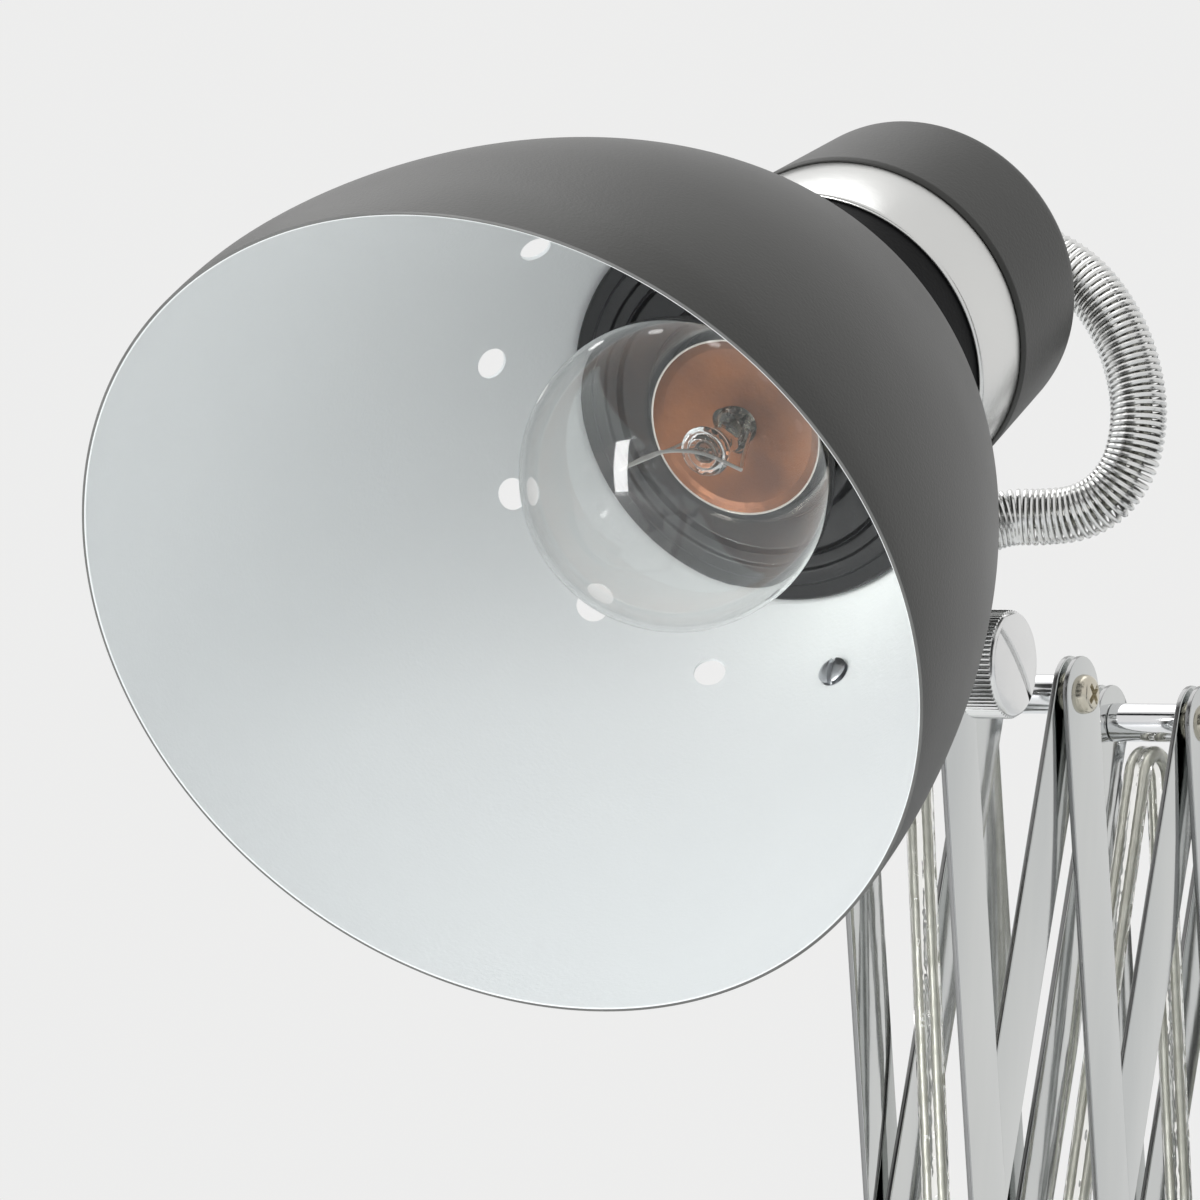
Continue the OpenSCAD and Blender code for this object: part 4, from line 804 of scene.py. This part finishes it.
# ---------------------------------------------------------------- Bulb
# A clear 60 mm globe blown in one with its neck, on a nickelled screw base. A stamped copper-coloured
# heat shield sits on the flared glass stem, which carries the lead wires, the supports and the filament.
BULB_PLACE, BULB_RADIUS, GLASS_WALL = 36.6, 30.0, 0.6


def clear_glass(name, color, roughness, ior, height=0.0, scale=60.0):
    """Glass: a Principled surface with full transmission that lets lamps' rays through to what is behind it,
    and slow waves of a noise as its bump."""
    made, nodes, links, shader = plain(name, color, roughness, Transmission_Weight=1.0, IOR=ior)
    through = nodes.new("ShaderNodeBsdfTransparent")
    through.inputs["Color"].default_value = (0.96, 0.97, 0.96, 1.0)
    path = nodes.new("ShaderNodeLightPath")
    mix = nodes.new("ShaderNodeMixShader")
    output = nodes["Material Output"]
    links.new(path.outputs["Is Shadow Ray"], mix.inputs["Fac"])
    links.new(shader.outputs[0], mix.inputs[1])
    links.new(through.outputs[0], mix.inputs[2])
    links.new(mix.outputs[0], output.inputs["Surface"])
    if height:
        grain = nodes.new("ShaderNodeGroup")
        grain.node_tree = surface_grain
        grain.inputs["Fine Scale"].default_value = scale
        bump = nodes.new("ShaderNodeBump")
        bump.inputs["Distance"].default_value = height
        links.new(grain.outputs["Fine"], bump.inputs["Height"])
        links.new(bump.outputs["Normal"], shader.inputs["Normal"])
    return made


throat = np.array([(12.8, -11.4), (13.6, -8.6), (14.6, -4.0), (15.6, 0.2), (17.2, 4.6), (19.4, 8.8),
                   (21.9, 12.9)])
from_front = np.radians(np.append(np.arange(117.0, 0, -3), 0.0))
globe = np.stack([BULB_RADIUS * np.sin(from_front), BULB_PLACE + BULB_RADIUS * np.cos(from_front)], -1)
outside = np.concatenate([throat, globe])
normal = np.gradient(outside, axis=0)
normal = np.stack([normal[:, 1], -normal[:, 0]], -1)
normal /= np.linalg.norm(normal, axis=1, keepdims=True)
inside_line = outside - normal * GLASS_WALL
inside_line[-1] = (0, outside[-1, 1] - GLASS_WALL)
bulb = lathe(np.concatenate([outside, inside_line[::-1]]), 128)
bulb_glass = clear_glass("bulb_clear_glass", (0.985, 0.99, 0.985), 0.0, 1.47)
dress(mesh_object("bulb_glass_finish", [neck_part(bulb)], 60), "head", "bulb_glass", bulb_glass, "bulb_glass")

# The screw base is rolled to a round thread between its rim and the taper to the centre contact: the base's
# radius less the depth times a raised cosine of (height / pitch - angle / turn), which fades at both ends.
BASE_RADIUS, BASE_LOW, BASE_LENGTH, BASE_PITCH, BASE_DEPTH, BASE_SIDES = 12.9, -32.4, 19.0, 3.6, 0.75, 64
contact = np.array([(0, -36.4), (4.6, -36.4), (5.2, -35.0), (10.6, -33.4)])
rim = np.array([(13.2, -13.0), (13.2, -11.42), (0, -11.42)])
t = np.linspace(0, 1, 90)[:, None]
h = BASE_LOW + t * BASE_LENGTH
a = (np.arange(BASE_SIDES) * 2 * np.pi / BASE_SIDES)[None]
fade = np.clip(t * 8, 0, 1) * np.clip((1 - t) * 8, 0, 1)
r = BASE_RADIUS - BASE_DEPTH * fade * (0.5 - 0.5 * np.cos(2 * np.pi * h / BASE_PITCH - a))
r = np.concatenate([contact[:, :1] + 0 * a, r, rim[:, :1] + 0 * a])
h = np.concatenate([contact[:, 1:], h, rim[:, 1:]])
base_points = np.stack([r * np.cos(a), r * np.sin(a), h + 0 * a], -1)
base = (base_points.reshape(-1, 3), quads_of(len(base_points), BASE_SIDES), 0)
dress(mesh_object("bulb_base_finish", [neck_part(base)]), "head", "nickel", nickel, "bulb_base")

stem_profile = [(0, -11.4), (11.0, -11.4), (8.4, -8.8), (5.6, -4.6), (4.2, 0.0), (3.8, 6.0), (3.6, 11.0),
                (3.2, 13.4), (2.8, 16.0), (2.8, 20.4), (4.6, 22.2), (5.1, 23.5), (4.5, 24.5), (3.7, 23.9),
                (3.0, 24.8), (2.1, 24.1), (1.3, 25.0), (0, 25.0)]
stem_glass = clear_glass("stem_glass", (0.985, 0.99, 0.985), 0.0, 1.42, 0.0009, 130.0)
stem_points, stem_quads, _ = lathe(rounded(stem_profile, 0.35))
# The pinched tube isn't round: its radius swells in two slow helices, which fade out at its flared foot and
# at the button.
turn, h = np.arctan2(stem_points[:, 1], stem_points[:, 0]), stem_points[:, 2]
swell = 0.26 * np.sin(2 * turn + 0.9 * h) + 0.12 * np.sin(3 * turn - 1.7 * h)
swell = 1 + swell * np.clip((h + 4) / 5, 0, 1) * np.clip((21.5 - h) / 4, 0, 1)
stem = (stem_points * np.stack([swell, swell, 1 + 0 * swell], -1), stem_quads, 0)
dress(mesh_object("bulb_stem_finish", [neck_part(stem)], 60), "head", "bulb_glass", stem_glass, "bulb_stem")

shield_profile = [(3.9, 8.0), (15.9, 8.0), (17.0, 8.35), (17.8, 8.9), (18.0, 9.15), (17.75, 9.25),
                  (16.8, 8.75), (15.8, 8.4), (3.9, 8.4)]
shield_copper = finish("heat_shield_copper", (0.33, 0.135, 0.06), (0.13, 0.06, 0.038), (0.30, 0.48), 700.0,
                       45.0, contrast=0.7, height=0.00003, metallic=0.75)
shield_rim = finish("heat_shield_rim", (0.86, 0.80, 0.74), (0.78, 0.72, 0.66), (0.12, 0.2), 900.0, 60.0,
                    metallic=1.0)
rim_profile = [(17.65, 8.95), (17.95, 8.95), (18.02, 9.2), (17.8, 9.35), (17.6, 9.2)]
dress(mesh_object("heat_shield_finish", [neck_part(lathe(rounded(shield_profile, 0.15), 96)),
                                         neck_part(lathe(rim_profile, 96, kind=1))]),
      "head", "copper", [shield_copper, shield_rim], "heat_shield")


def unit(vectors):
    """Vectors scaled to length one."""
    return vectors / np.maximum(np.linalg.norm(vectors, axis=-1, keepdims=True), 1e-12)


def swept(path, outline, wide, size=None):
    """A closed outline (across the wide side, across the thin side) carried along a path: each ring stands
    square to the path, turned to its wide direction and scaled by size there; both ends close in a point."""
    path = np.asarray(path, float)
    tangent = unit(np.gradient(path, axis=0))
    thin = unit(np.cross(tangent, np.broadcast_to(wide, path.shape)))
    broad = np.cross(thin, tangent)
    size = np.ones(len(path)) if size is None else np.asarray(size)
    outline = np.asarray(outline, float)
    rings = (path[:, None] + size[:, None, None] * (outline[None, :, :1] * broad[:, None]
                                                   + outline[None, :, 1:] * thin[:, None]))
    ends = [np.repeat(path[:1], len(outline), 0)[None], np.repeat(path[-1:], len(outline), 0)[None]]
    grid = np.concatenate([ends[0], rings, ends[1]])
    return grid.reshape(-1, 3), quads_of(len(grid), len(outline)), 0


def circle(radius, sides):
    """A round outline."""
    a = np.arange(sides) * 2 * np.pi / sides
    return radius * np.stack([np.cos(a), np.sin(a)], -1)


def through(points, steps):
    """A smooth curve through points: the Catmull-Rom cubic of each span, at even steps of its parameter."""
    p = np.asarray(points, float)
    u = np.linspace(0, len(p) - 1, steps + 1)
    k = np.minimum(u.astype(int), len(p) - 2)
    t = (u - k)[:, None]
    before, here, there, after = (p[np.clip(k + i, 0, len(p) - 1)] for i in (-1, 0, 1, 2))
    return 0.5 * (2 * here + (there - before) * t + (2 * before - 5 * here + 4 * there - after) * t ** 2
                  + (3 * here - before - 3 * there + after) * t ** 3)


# Lead wires, two hair-thin supports and the coiled filament, which hangs in a shallow V before the shield.
LEAD_WIRE, STAY_WIRE, FILAMENT_WIRE = 0.30, 0.16, 0.09
FILAMENT_COIL, FILAMENT_TURNS, COIL_STEPS = 0.32, 90, 900
filament_parts = []
for side in (-1, 1):
    lead_path = through([(side * 2.2, 0, 10.0), (side * 4.6, 0, 13.0), (side * 9.2, 0.2, 26.0),
                         (side * 12.8, 0.3, 35.0)], 24)
    filament_parts.append(swept(lead_path, circle(LEAD_WIRE, 8), (0, 1, 0)))
    stay = through([(side * 1.2, 0.8, 24.0), (side * 3.2, 2.4, 30.0), (side * 4.4, 3.4, 34.4)], 12)
    filament_parts.append(swept(stay, circle(STAY_WIRE, 6), (0, 1, 0)))
line = through([(-12.8, 0.3, 35.0), (-4.4, 3.6, 34.6), (4.4, 3.6, 34.6), (12.8, 0.3, 35.0)], COIL_STEPS - 1)
turn = 2 * np.pi * FILAMENT_TURNS * np.linspace(0, 1, COIL_STEPS)
coil = line + FILAMENT_COIL * np.stack([0 * turn, np.cos(turn), np.sin(turn)], -1)
filament_parts.append(swept(coil, circle(FILAMENT_WIRE, 5), (1, 0.2, 0.1)))
tungsten = finish("tungsten_wire", (0.55, 0.54, 0.52), (0.42, 0.41, 0.40), (0.25, 0.4), 900.0, 200.0,
                  metallic=1.0)
dress(mesh_object("filament_finish", [neck_part(p) for p in filament_parts]), "head", "wire", tungsten,
      "filament")

# ---------------------------------------------------------------- Strap and thumb screw
# A chromed strap joins the shade to the arm. Its front end is folded on the dome and held by a slotted
# screw with a nut, and a knurled screw with a coin slot clamps its rear end on the outer bar.
dress(softened("head_strap", 0.25), "head", "chrome", bar_chrome, "head_strap")
vent_slope_angle = math.atan(math.sqrt(VENT_SLOPE ** 2 - 1))
normal_out = np.array([math.cos(vent_slope_angle), 0, -math.sin(vent_slope_angle)])
back_along = np.array([-math.sin(vent_slope_angle), 0, -math.cos(vent_slope_angle)])


def on_ring(part):
    """A part whose +Z points out of the wall and whose +X points back along it, at the screw's place."""
    a = (SCREW_PLACE + 0.5) * sector
    side = np.cross(normal_out, back_along)
    points = part[0] @ np.stack([back_along, side, normal_out]) + (dome(VENT_PLACE), 0, VENT_PLACE)
    c, s = math.cos(a), math.sin(a)
    return (points @ np.array([[c, s, 0], [-s, c, 0], [0, 0, 1]]), *part[1:])


def slotted_end(radius, depth):
    """A round end on -Z with a slot across it: at the radius rho of a disc grid the end stands out by
    depth (1 - 0.35 rho^4), less the slot's depth where |v| is under the slot's half width."""
    u, v, x, y = disc_grid(31, 1.2)
    slot_half, slot_wall, slot_depth = 0.20, 0.06, 0.8
    groove = np.clip((slot_half - np.abs(v)) / slot_wall, 0, 1)
    level = -depth * (1 - 0.35 * np.hypot(x, y) ** 4) + slot_depth * groove
    face = np.stack([radius * x, radius * y, level], -1)
    back = face * (1, 1, 0)
    n = len(u)
    quads = quads_of(n, n, False, False)
    quads = np.concatenate([quads[:, ::-1], quads + n * n])
    return np.concatenate([face.reshape(-1, 3), back.reshape(-1, 3)]), quads, 0


nut = lathe([(3.4, 1.75), (3.6, 1.95), (3.6, 3.85), (3.4, 4.05), (1.6, 4.05), (1.6, 1.75)], 6)
screw_end = moved(slotted_end(3.0, 1.5), (0, 0, -0.9))
shank = lathe(rounded([(0, -1.6), (1.5, -1.6), (1.5, 5.2), (0, 5.2)], 0.3), 32)
dress(mesh_object("strap_screw_finish", [neck_part(on_ring(p)) for p in (screw_end, shank, nut)], 28), "head",
      "zinc", zinc_screw, "strap_screw")

THUMB_FOOT, THUMB_LENGTH, TEETH = 15.3, 9.5, 66


def knurled_head():
    """The thumb screw's head along +Z: a drum whose radius ripples by |cos(angle teeth / 2)| over its middle,
    closed by a flat back and by a disc grid whose height falls with rho^2.6 and is lowered along a coin
    slot."""
    around = np.arange(TEETH * 6) * 2 * np.pi / (TEETH * 6)
    levels = np.array([0, 0.25, 0.5, 0.9, 1.0, 8.5, 8.6, 9.0, 9.3, 9.5])
    base_size = np.array([9.6, 10.0, 10.2, 10.3, 10.45, 10.45, 10.3, 10.25, 10.1, 9.8])
    depth = np.array([0, 0, 0, 0, 0.25, 0.25, 0, 0, 0, 0])
    ripple = np.abs(np.cos(around * TEETH / 2)) * 2 - 1
    r = base_size[:, None] + depth[:, None] * ripple
    drum = np.stack([r * np.cos(around), r * np.sin(around), levels[:, None] + 0 * around], -1)
    back_centre = np.zeros((1, len(around), 3))
    drum = np.concatenate([back_centre, drum])
    u, v, x, y = disc_grid(121, 1.1)
    face_radius, crown, slot_half, slot_wall, slot_depth = 9.82, 0.8, 0.095, 0.018, 1.0
    face = THUMB_LENGTH + crown * (1 - np.hypot(x, y) ** 2.6)
    face = face - slot_depth * np.clip((slot_half - np.abs(v)) / slot_wall, 0, 1)
    face_points = np.stack([face_radius * x, face_radius * y, face], -1)
    n = len(u)
    return [(drum.reshape(-1, 3), quads_of(len(drum), len(around)), 0),
            (face_points.reshape(-1, 3), quads_of(n, n, False, False), 0)]


SLOT_TURN = math.radians(-38)
c, s = math.cos(SLOT_TURN), math.sin(SLOT_TURN)
slot_axes = np.array([(0, c, s), (0, -s, c), (1, 0, 0)])
thumb_parts = [moved(p, top_pivot(0) + (THUMB_FOOT, 0, 0), slot_axes) for p in knurled_head()]
# Behind the head: its boss, the shoulder in the bar and strap, and the end that screws into the tube.
for radius, low, high in ((5.0, 14.2, 15.5), (2.5, 10.9, 15.5), (2.0, 1.8, 11.0)):
    thumb_parts.append(moved(lathe(rounded([(0, low), (radius, low), (radius, high), (0, high)], 0.2), 32),
                             top_pivot(0), ALONG_X))
thumb_chrome = finish("thumb_chrome", (0.80, 0.80, 0.795), (0.74, 0.74, 0.74), (0.16, 0.26), 420.0, 60.0,
                      height=0.00002, metallic=1.0)
thumb = mesh_object("thumb_screw_finish", thumb_parts, 30)
dress(thumb, "thumb", "chrome", thumb_chrome, "thumb_screw")

# ---------------------------------------------------------------- Conduit
# Hard-drawn spring wire wound close over a mandrel: a flexible guide for the cord from the cap's rear to
# the tilt pivot. Its turns lie close on the straight stretches and fan out round the outside of the bend.
CONDUIT_RADIUS, CONDUIT_WIRE = 5.7, 1.1
conduit_route = np.array([
    (0, 17, 84.8), (3, 22, 86.4), (9.2, 26, 86.0), (16.3, 27.5, 83.4), (23.2, 28, 78.8), (29.2, 28, 72),
    (33.6, 28, 63.6), (36.2, 27.5, 53.5), (35.6, 26.5, 43.6), (31.8, 25.5, 36.6), (25.8, 24.5, 32.8),
    (18.8, 23, 31.6), (12, 20.5, 31.0), (6, 16, 27.6), (2, 10.5, 21.5), (0, 6.5, 14)]) + top_pivot(0)


def evened(path, count):
    """The same path with its points at even distances, and its length."""
    path = np.asarray(path, float)
    run = np.concatenate([[0], np.cumsum(np.linalg.norm(np.diff(path, axis=0), axis=1))])
    at = np.linspace(0, run[-1], count)
    return np.stack([np.interp(at, run, path[:, i]) for i in range(3)], -1), run[-1]


TURNS, PER_TURN = 96, 20
spine = evened(through(conduit_route, 600), TURNS * PER_TURN)[0]
tangent = unit(np.gradient(spine, axis=0))
level_side = unit(np.cross(tangent, (0.6, -0.8, 0.1)))
other_side = np.cross(tangent, level_side)
phase = np.arange(len(spine)) * 2 * np.pi / PER_TURN
wire_line = spine + (CONDUIT_RADIUS - CONDUIT_WIRE / 2) * (np.cos(phase)[:, None] * level_side
                                                           + np.sin(phase)[:, None] * other_side)
conduit = mesh_object("conduit_finish", [swept(wire_line, circle(CONDUIT_WIRE / 2, 8), tangent)])
spring_chrome = finish("spring_chrome", (0.80, 0.80, 0.79), (0.72, 0.72, 0.71), (0.16, 0.28), 400.0, 60.0,
                       metallic=1.0)
conduit.data.materials.append(spring_chrome)
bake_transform(conduit)
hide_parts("conduit")

# ---------------------------------------------------------------- Cord in the arm
# Flat twin flex: two bunched tinned-copper conductors side by side in clear PVC, 6 by 3.4 mm. It comes out
# of the conduit, runs round every second bottom tube, arches under the top tube between them, and goes down
# inside the bracket.
CORD_WIDTH, CORD_THICKNESS = 6.0, 3.4
CONDUCTOR_RADIUS, CONDUCTOR_PLACE, RIPPLE, RIPPLE_PITCH, CONDUCTOR_SIDES = 0.74, 1.42, 0.07, 9.0, 12
WRAP = TUBE_RADIUS + CORD_THICKNESS / 2 + 0.1
LEAN = FOLD - math.degrees(math.asin(2 * WRAP / BAR_LENGTH))


def flat_twin(wider=0.0):
    """The flex's outline, two round lobes joined by a shallow waist: with c = |cos a|, x goes as c^0.85 and y
    as sin a (0.8 + 0.2 c^0.5) (1 + 0.12 sin^2(pi c)), scaled to the cord's width, or wider, and thickness."""
    a = np.arange(28) * 2 * np.pi / 28
    c = np.abs(np.cos(a))
    x = (CORD_WIDTH / 2 + wider) * np.sign(np.cos(a)) * c ** 0.85
    y = np.sin(a) * (0.80 + 0.20 * c ** 0.5) * (1 + 0.12 * np.sin(c * np.pi) ** 2)
    return np.stack([x, y * CORD_THICKNESS / 2 / y.max()], -1)


def conductor(path, wide, offset):
    """A bunch of strands: a rod beside the cord's middle line, whose radius ripples with the cosine of three
    times the angle less one turn per pitch of the run: three ridges in a slow helix."""
    tangent = unit(np.gradient(path, axis=0))
    thin = unit(np.cross(tangent, np.broadcast_to(wide, path.shape)))
    broad = np.cross(thin, tangent)
    run = np.concatenate([[0], np.cumsum(np.linalg.norm(np.diff(path, axis=0), axis=1))])
    a = (np.arange(CONDUCTOR_SIDES) * 2 * np.pi / CONDUCTOR_SIDES)[None]
    r = CONDUCTOR_RADIUS + RIPPLE * np.cos(3 * a - 2 * np.pi * run[:, None] / RIPPLE_PITCH)
    middle = path + offset * broad
    grid = middle[:, None] + r[..., None] * (np.cos(a)[..., None] * broad[:, None]
                                             + np.sin(a)[..., None] * thin[:, None])
    ends = [np.repeat(middle[i:i + 1], CONDUCTOR_SIDES, 0)[None] for i in (0, len(middle) - 1)]
    grid = np.concatenate([ends[0], grid, ends[1]])
    return grid.reshape(-1, 3), quads_of(len(grid), CONDUCTOR_SIDES), 1


def flex(name, path, wide):
    """A length of the flex: the clear sheath as material 0 and both conductors as material 1."""
    sheath = swept(path, flat_twin(), wide)
    wires = [conductor(path, wide, side * CONDUCTOR_PLACE) for side in (-1, 1)]
    return mesh_object(name, [sheath] + wires, 50)


clear_pvc = clear_glass("clear_pvc", (0.99, 0.985, 0.955), 0.05, 1.46, 0.0006, 110.0)
tinned_strands = finish("tinned_strands", (0.86, 0.86, 0.80), (0.70, 0.70, 0.63), (0.30, 0.5), 1500.0, 300.0,
                        metallic=0.7)


def arc(centre, start, end, steps=20):
    """Part of the cord's wrap over a tube, from one angle to another."""
    a = np.radians(np.linspace(start, end, steps + 1))
    return centre + WRAP * np.stack([0 * a, np.cos(a), np.sin(a)], -1)


def straight(start, end, steps):
    """Points between two ends, without them."""
    return start + (end - start) * np.linspace(0, 1, steps + 2)[1:-1, None]


def run_between(first, second, steps=40):
    """Two wraps and the straight stretch that is tangent to both."""
    return np.concatenate([first, straight(first[-1], second[0], steps), second])


# Degrees round a tube: where the first run takes over from the head's cord, and how far a wrap goes past the
# place where two lengths meet.
RUN_START, PAST = 25.0, 10.0
arm_runs = (
    ("cord_run_0", "outer_0",
     run_between(arc(top_pivot(0), RUN_START, LEAN), arc(low_pivot(1), 180 + LEAN, 270 + PAST))),
    ("cord_run_3", "inner_4",
     run_between(arc(top_pivot(4), 90 - PAST, 180 - LEAN), arc(low_pivot(3), -LEAN, -90 - PAST))),
)
for node, body, route in arm_runs:
    dress(flex(node + "_finish", route, (1.0, 0, 0)), body, "clear_pvc", [clear_pvc, tinned_strands], node)

# In the middle the cord arches close under a top tube.
ARCH_DROP = 12.3
arch_centre = top_pivot(2) - (0, 0, ARCH_DROP)
arch_rise = BAR_LENGTH * math.cos(math.radians(FOLD)) - ARCH_DROP
ARCH_LEAN = math.degrees(math.atan(PITCH / arch_rise) - math.asin(2 * WRAP / math.hypot(PITCH, arch_rise)))
front_leg = run_between(arc(low_pivot(1), -90 - PAST, -ARCH_LEAN),
                        arc(arch_centre, 180 - ARCH_LEAN, ARCH_LEAN, 36))
arch_route = run_between(front_leg, arc(low_pivot(3), 180 + ARCH_LEAN, 270 + PAST))
arch_cord = flex("cord_arch_finish", arch_route, (1.0, 0, 0))
for paint in (clear_pvc, tinned_strands):
    arch_cord.data.materials.append(paint)
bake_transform(arch_cord)
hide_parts("cord_run_1", "cord_run_2")

neck_dir = np.array([0, math.cos(NECK_TILT), math.sin(NECK_TILT)])
seat_turn = math.radians(RUN_START)
seat = top_pivot(0) + WRAP * np.array([0, math.cos(seat_turn), math.sin(seat_turn)])
seat_dir = np.array([0, -math.sin(seat_turn), math.cos(seat_turn)])
head_points = np.concatenate([[conduit_route[0] - 3 * neck_dir], conduit_route, [seat + 4 * seat_dir, seat]])
head_route = evened(through(head_points, 400), 160)[0]
head_cord = flex("cord_head_finish", head_route, (0.95, -0.1, -0.3))
for paint in (clear_pvc, tinned_strands):
    head_cord.data.materials.append(paint)
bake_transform(head_cord)
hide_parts("cord_head")

# The last length wraps the rear tube, drops to the clip at the bracket's foot and turns by a quarter on its
# way: flat across the arm at the top, and edgeways in the clip.
LEAD_LINE, EXIT_HEIGHT = -15.4, 58.0
drop_heights = np.array([260, 210, 160, 110, 82, EXIT_HEIGHT])
drop_turns = np.array([0, 20, 45, 70, 90, 90.0])
wrap_down = arc(top_pivot(4), 90 + PAST, -8, 14)
fall = np.linspace(drop_heights[0], drop_heights[-1], 50)
drop_line = np.stack([0 * fall, 0 * fall + LEAD_LINE, fall], -1)
bracket_route = np.concatenate([wrap_down, straight(wrap_down[-1], drop_line[0], 6), drop_line])
twist = np.radians(np.interp(-bracket_route[:, 2], -drop_heights, drop_turns))
bracket_wide = np.stack([np.cos(twist), np.sin(twist), 0 * twist], -1)
dress(flex("cord_bracket_finish", bracket_route, bracket_wide), "bracket", "clear_pvc",
      [clear_pvc, tinned_strands], "cord_bracket")

# ---------------------------------------------------------------- Free cord, switch and plug
# The same flex leaves the clip through a tapered sleeve, comes down to the desk and runs through the
# in-line switch to a coil of six turns, put away beside the lamp, and ends in a flat moulded plug.
REST = CORD_THICKNESS / 2 + 0.1
lead_points = [
    (0, -15.4, 58), (0, -15.4, 52), (0.6, -15.4, 45), (3, -15.4, 38), (7, -15.4, 32), (12, -15.4, 27),
    (20, -15.4, 21), (28, -15.4, 15.5), (36, -15.4, 10.5), (44, -15.4, 6.5), (53, -15.4, 4), (62, -15.4, 4),
    (70, -15.4, 4.5)]
loop_points = [
    (128, -15.4, 4.5), (136, -17, 3), (144, -21, REST), (151, -28, REST), (156, -38, REST), (158, -50, REST),
    (158, -62, REST), (158, -75, REST)]
tail_points = [(119, -115, 5.4), (108, -115.5, 5.4), (97, -116, 4), (86, -116, 4.5), (74, -116, 6.5)]
COIL_CENTRE = np.array([119.0, -76.0, 0.0])
COIL_TURNS, COIL_RADIUS, LAYER_RISE, TURN_POINTS = 6, 39.0, 3.7, 48


def coil_points():
    """Six turns clockwise from the loop's end: three side by side on the desk from the outside in, then three
    on them from the inside out. In a turn's last fifth e, its radius and height pass to the next one's by
    e^2 (3 - 2 e)."""
    radii = COIL_RADIUS - CORD_WIDTH * np.array([0, 1, 2, 2, 1, 0, 0])
    heights = REST + LAYER_RISE * np.array([0, 0, 0, 1, 1, 1, 1])
    t = np.linspace(0, COIL_TURNS, COIL_TURNS * TURN_POINTS + 1)
    k = np.minimum(t.astype(int), COIL_TURNS - 1)
    ease = np.clip((t - k - 0.80) / 0.20, 0, 1)
    ease = ease * ease * (3 - 2 * ease)
    radius = radii[k] + (radii[k + 1] - radii[k]) * ease
    height = heights[k] + (heights[k + 1] - heights[k]) * ease
    angle = -2 * np.pi * t
    return COIL_CENTRE + np.stack([radius * np.cos(angle), radius * np.sin(angle), height], -1)


coil_line = coil_points()
a = -np.linspace(0, np.pi / 2, 13)[1:]
last_quarter = COIL_CENTRE + np.stack([COIL_RADIUS * np.cos(a), COIL_RADIUS * np.sin(a),
                                       0 * a + REST + LAYER_RISE], -1)
free_route = np.concatenate([
    through(lead_points, 60), straight(np.array(lead_points[-1]), np.array(loop_points[0]), 12),
    through(loop_points, 40)[:-1], coil_line, last_quarter, through(tail_points, 30)[1:]])
FREE_POINTS = 620
free_route, free_length = evened(free_route, FREE_POINTS)
upright = np.array([0.0, 0.0, 1.0])
level = unit(np.cross(upright, unit(np.gradient(free_route, axis=0)) * (1, 1, 0) + (1e-9, 0, 0)))
start_wide = np.array([0.0, 1.0, 0.0])
# The cord's wide side lies along y in the clip and level below it, blended over the first 10 mm, where the
# cord is still upright.
share = np.clip((EXIT_HEIGHT - free_route[:, 2:]) / 10, 0, 1)
free_wide = unit(start_wide * (1 - share) + level * share)
free_cord = flex("cord_free_finish", free_route, free_wide)
dress(free_cord, "clamp", "clear_pvc", [clear_pvc, tinned_strands], "cord_lead", "cord_coil", "cord_tail")

SLEEVE_LENGTH = 20.0
sleeve_line = free_route[free_route[:, 2] > EXIT_HEIGHT - SLEEVE_LENGTH]
sleeve_size = np.linspace(1.0, 0.80, len(sleeve_line))
sleeve_part = swept(sleeve_line, flat_twin(0.75), free_wide[:len(sleeve_line)], sleeve_size)
sleeve = mesh_object("cord_sleeve", [sleeve_part])
dress(sleeve, "clamp", "black_plastic", black_plastic)

switch = dress(softened("switch_shell", 0.7, 3), "clamp", "clear_plastic", white_plastic, "switch_shell")
rocker = dress(softened("switch_rocker", 0.5), "rocker", "white_plastic", white_plastic, "switch_rocker")
plug_plastic = finish("plug_plastic", (0.72, 0.72, 0.70), (0.68, 0.68, 0.66), (0.30, 0.40), 900.0, 50.0,
                      height=0.00003)
plug = dress(softened("plug", 0.9, 3), "clamp", "white_plastic", plug_plastic, "plug")
